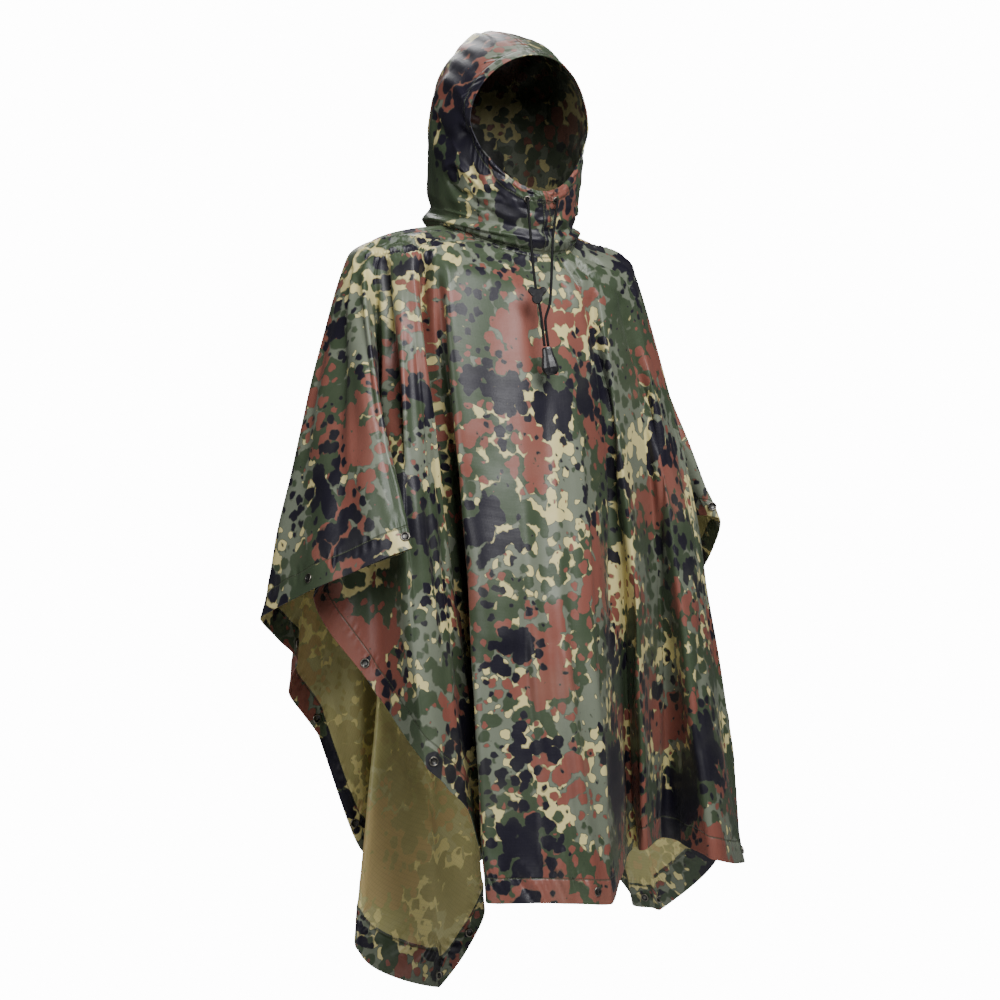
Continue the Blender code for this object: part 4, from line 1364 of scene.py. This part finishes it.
class Fasteners:
    """Ring snaps down both sides and at the hems, and a ring grommet in each corner."""

    def __init__(self, sizes: HardwareSizes, sheet: DrapedSheet, hood: Hood) -> None:
        self.sizes = sizes
        self.sheet = sheet
        self.hood = hood
        self.pieces: list[bpy.types.Object] = []

    def build(self) -> "Fasteners":
        """Makes one piece for each row of fasteners."""
        surface, hood = (
            (self._faces(cloth.pieces, outer=True), self._faces(cloth.pieces, outer=False))
            for cloth in (self.sheet, self.hood)
        )
        groups = {
            "side_snaps_left": [f"snap_left_{n:02d}" for n in range(1, 11)],
            "side_snaps_right": [f"snap_right_{n:02d}" for n in range(1, 11)],
            "hem_snaps": [f"snap_hem_{n}" for n in range(1, 4)],
        }
        for name, nodes in groups.items():
            self._row(name, nodes, surface, self._snap)
        corners = [f"grommet_{end}_{side}" for end in ("front", "back") for side in ("left", "right")]
        self._row("corner_grommets", corners, surface, self._grommet)
        eyelets = [f"hood_eyelet_{side}" for side in ("left", "right")]
        self._row("hood_eyelets", eyelets, hood, self._eyelet)
        return self

    def _faces(self, pieces: Sequence[bpy.types.Object], outer: bool) -> BVHTree:
        """The outer or the inner faces of some pieces, for finding the cloth under a fastener."""
        points, faces = [], []
        for piece in pieces:
            start = len(points)
            points += [v.co for v in piece.data.vertices]
            faces += [
                [start + v for v in face.vertices]
                for face in piece.data.polygons
                if (face.material_index == ClothFace.OUTSIDE) is outer
            ]
        return BVHTree.FromPolygons(points, faces)

    def _row(
        self, name: str, nodes: Sequence[str], surfaces: tuple[BVHTree, BVHTree], make: Callable[..., None]
    ) -> None:
        """One piece that stands for these nodes, each fastener lying on the cloth where its node is.

        Args:
            name: The piece's name.
            nodes: The solids that it stands for.
            surfaces: The outer and the inner faces of the cloth.
            make: Adds one fastener to a mesh, at a point, along a normal, through a ply this thick.
        """
        work = bmesh.new()
        for node in nodes:
            low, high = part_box(node)
            point, normal, _, _ = surfaces[0].find_nearest((Vector(low) + Vector(high)) / 2)
            start = point - normal * self.sizes.just_under
            under = surfaces[1].ray_cast(start, -normal, self.sizes.thickest_ply)[3]
            make(work, point, normal, under or CLOTH.thickness)
        bmesh.ops.recalc_face_normals(work, faces=work.faces)
        piece = new_piece(name, finished(work, name))
        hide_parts(*nodes)
        self.pieces.append(piece)

    def _snap(self, work: bmesh.types.BMesh, point: Vector, normal: Vector, ply: float) -> None:
        """A ring snap: a worn rim, a black ring and a dimpled grey centre, on both faces of the cloth."""
        face = [(self.sizes.snap_radius * share, height, metal) for share, height, metal in SNAP_FACE]
        turned(face, facing(point, normal), self.sizes.segments, work)
        turned(face, facing(point - normal * ply, -normal), self.sizes.segments, work)

    def _ring(
        self, work: bmesh.types.BMesh, point: Vector, normal: Vector, radius: float, hole: float, ply: float
    ) -> None:
        """A rolled metal ring on both faces, its barrel's inner wall and a disc across its hole black as
        painted shade in the hole.
        """
        roll = [(hole * 1.06, 0.0006), ((radius + hole) / 2, 0.0014), (radius * 0.94, 0.0010), (radius, 0.0)]
        # the barrel's inner wall takes the black ring's finish: painted shade inside the hole
        ring = [(hole, -ply, Metal.RING)]
        ring += [(reach, height, Metal.RIM) for reach, height in roll]
        ring += [(reach, -ply - height, Metal.RIM) for reach, height in reversed(roll)]
        turned(ring, facing(point, normal), self.sizes.segments, work)
        # a thin black disc across the hole on each face is painted shade where the hole is
        for out, way in ((point, normal), (point - normal * ply, -normal)):
            hole_shade_disc = [(0.0, 0.0002), (hole, 0.0002), (hole, 0.0), (0.0, 0.0)]
            hole_shade_disc = [(reach, height, Metal.RING) for reach, height in hole_shade_disc]
            turned(hole_shade_disc, facing(out, way), self.sizes.hole_segments, work)

    def _grommet(self, work: bmesh.types.BMesh, point: Vector, normal: Vector, ply: float) -> None:
        """A 13 mm ring grommet."""
        self._ring(work, point, normal, self.sizes.grommet_radius, self.sizes.grommet_hole, ply)

    def _eyelet(self, work: bmesh.types.BMesh, point: Vector, normal: Vector, ply: float) -> None:
        """A 10 mm eyelet."""
        self._ring(work, point, normal, self.sizes.eyelet_radius, self.sizes.eyelet_hole, ply)

    def dress(self, rim: Material, ring: Material, centre: Material) -> None:
        """Gives each fastener its worn rim, black ring and grey centre."""
        put_on(self.pieces, rim, ring, centre)


@dataclass(frozen=True)
class CordRun:
    """One free end of the hood's drawcord, from its eyelet down over the chest."""

    name: str
    node: str
    route: tuple[Point, ...]


RIGHT_RUN = CordRun(
    "drawcord_right_braid",
    "drawcord_right",
    (
        (-0.03936, -0.13284, 0.04677),
        (-0.04093, -0.13646, 0.04609),
        (-0.0555, -0.170, -0.038),
        (-0.059, -0.184, -0.084),
        (-0.0572, -0.1915, -0.111),
        (-0.0557, -0.1945, -0.1315),
        (-0.0538, -0.199, -0.1690),
    ),
)
LEFT_RUN = CordRun(
    "drawcord_left_braid",
    "drawcord_left",
    (
        (0.00566, -0.14055, 0.04667),
        (0.00580, -0.14446, 0.04584),
        (-0.014, -0.162, -0.008),
        (-0.029, -0.180, -0.070),
        (-0.040, -0.1925, -0.107),
        (-0.0512, -0.1975, -0.1315),
        (-0.0496, -0.2025, -0.1690),
    ),
)


class Drawcord:
    """The two free ends of the drawcord, the spring lock on one of them and the bell that joins their tips."""

    diameter = 0.0038
    sides = 16
    steps = 10

    def __init__(self) -> None:
        self.cords: list[bpy.types.Object] = []
        self.moulded: list[bpy.types.Object] = []

    def build(self) -> "Drawcord":
        """Makes the braids and takes the lock and the bell from the imported solids."""
        self.moulded = [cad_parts["cord_lock"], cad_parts["cord_end"]]
        lock, bell = self.moulded
        for run, things in ((RIGHT_RUN, [lock, bell]), (LEFT_RUN, [bell])):
            points = curve_through(np.array(run.route), self.steps)
            piece = new_piece(run.name, self._tube(run.name, points))
            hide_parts(run.node)
            self.cords.append(piece)
        return self

    def _tube(self, name: str, points: np.ndarray) -> bpy.types.Mesh:
        """A round tube along the points, with a UV map of turns round it and metres along it."""
        work = bmesh.new()
        uv = work.loops.layers.uv.new("braid")
        tangents = unit(np.gradient(points, axis=0))
        side = np.array((1.0, 0.0, 0.0))
        rings, run = [], 0.0
        for number, (point, tangent) in enumerate(zip(points, tangents)):
            side = unit(side - tangent * (side @ tangent))
            other = np.cross(tangent, side)
            if number:
                run += float(np.linalg.norm(point - points[number - 1]))
            angles = np.arange(self.sides) * math.tau / self.sides
            ring = [
                work.verts.new(point + (side * math.cos(a) + other * math.sin(a)) * self.diameter / 2)
                for a in angles
            ]
            rings.append((ring, run))
        for (ring, low), (after, high) in zip(rings, rings[1:]):
            for k in range(self.sides):
                n = (k + 1) % self.sides
                face = work.faces.new((ring[k], ring[n], after[n], after[k]))
                face.smooth = True
                spots = ((k, low), (k + 1, low), (k + 1, high), (k, high))
                for loop, (turn, along) in zip(face.loops, spots):
                    loop[uv].uv = (turn / self.sides, along)
        for ring in (rings[0][0], rings[-1][0]):
            work.faces.new(ring)
        bmesh.ops.recalc_face_normals(work, faces=work.faces)
        return finished(work, name)

    def dress(self, braid: Material, plastic: Material) -> None:
        """Gives the cords their braid and the mouldings their plastic."""
        put_on(self.cords, braid)
        for node in self.moulded:
            for place in range(len(node.material_slots)):
                node.material_slots[place].material = plastic


class Lamp(NamedTuple):
    """A square soft light that points at the chest."""

    name: str
    azimuth: float  # degrees round from the front, wearer's left positive
    elevation: float  # degrees up
    distance: float
    side: float
    power: float  # watts


LAMPS = (
    Lamp("key", -10, 36, 2.6, 1.6, 134),
    Lamp("left_fill", -72, 8, 3.4, 1.4, 50),
    Lamp("right_fill", 60, 12, 3.6, 1.6, 6),
    Lamp("rim", 165, 45, 3.4, 1.6, 60),
)


class Studio:
    """A pale floor, soft lights and the camera."""

    aim = Vector((0.0, 0.0, -0.388))
    azimuth = -33.0
    elevation = 0.0
    distance = 4.2
    lens = 101.3
    sensor = 36.0
    floor_height = -1.45
    floor_radius = 1.25
    chest_height = -0.20
    sky_light = 0.035
    sky_seen = 14.0

    def build(self) -> None:
        """Sets up the camera, lights, floor and sky."""
        self._camera()
        for lamp in LAMPS:
            self._light(lamp)
        self._floor()
        world = bpy.data.worlds.new("studio")
        world.use_nodes = True
        nodes = Nodes(world.node_tree)
        seen = nodes.add("LightPath").outputs["Is Camera Ray"]
        strength = nodes.between(seen, self.sky_light, self.sky_seen)
        nodes.put(world.node_tree.nodes["Background"], {"Color": (1.0, 1.0, 1.0, 1.0), "Strength": strength})
        bpy.context.scene.world = world

    def _place(self, azimuth: float, elevation: float, distance: float) -> Vector:
        """A point round the garment."""
        a, e = math.radians(azimuth), math.radians(elevation)
        return self.aim + distance * Vector(
            (math.sin(a) * math.cos(e), -math.cos(a) * math.cos(e), math.sin(e))
        )

    def _camera(self) -> None:
        """The camera, level with the middle of the garment."""
        data = bpy.data.cameras.new("camera")
        data.lens, data.sensor_width = self.lens, self.sensor
        camera = in_scene("camera", data)
        camera.location = self._place(self.azimuth, self.elevation, self.distance)
        camera.rotation_euler = (self.aim - camera.location).to_track_quat("-Z", "Y").to_euler()
        bpy.context.scene.camera = camera

    def _light(self, lamp: Lamp) -> None:
        """One light, set up and turned to the chest."""
        data = bpy.data.lights.new(lamp.name, "AREA")
        data.energy, data.size = lamp.power, lamp.side
        light = in_scene(lamp.name, data)
        chest = Vector((0.0, 0.0, self.chest_height))
        place = self._place(lamp.azimuth, lamp.elevation, lamp.distance)
        light.location = place - self.aim + chest
        light.rotation_euler = (chest - light.location).to_track_quat("-Z", "Y").to_euler()

    def _floor(self) -> None:
        """A round pale floor under the garment."""
        work = bmesh.new()
        bmesh.ops.create_circle(work, cap_ends=True, radius=self.floor_radius, segments=128)
        bmesh.ops.translate(work, verts=work.verts, vec=(0, 0, self.floor_height))
        floor = in_scene("floor", finished(work, "floor"))
        material, shader, nodes = new_finish("floor")
        nodes.put(shader, {"Base Color": (0.88, 0.88, 0.88, 1.0), "Roughness": 0.9})
        put_on([floor], material)


def write_sizes() -> None:
    """Brings the view layer up to date."""
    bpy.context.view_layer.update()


def main() -> None:
    """Builds and dresses the poncho in its studio."""
    logging.basicConfig(level=logging.INFO, format="%(message)s")
    Studio().build()
    drawcord = Drawcord().build()
    sheet = DrapedSheet(CLOTH).build()
    hood = Hood(HoodSizes()).build()
    fasteners = Fasteners(HardwareSizes(), sheet, hood).build()
    printed = ClothFinish(Face.PRINTED).build()
    sheet.dress(printed, ClothFinish(Face.COATED).build(), printed)
    hood.dress(printed, ClothFinish(Face.HOOD_LINING).build())
    fasteners.dress(
        MetalFinish("worn_rim", "6f6b63", 0.38).build(),
        MetalFinish("black_ring", "1b1b1d", 0.40, 0.6).build(),
        MetalFinish("grey_centre", "5b5a58", 0.45).build(),
    )
    drawcord.dress(CordFinish().build(), PlasticFinish().build())
    write_sizes()


if __name__ == "__main__":
    main()
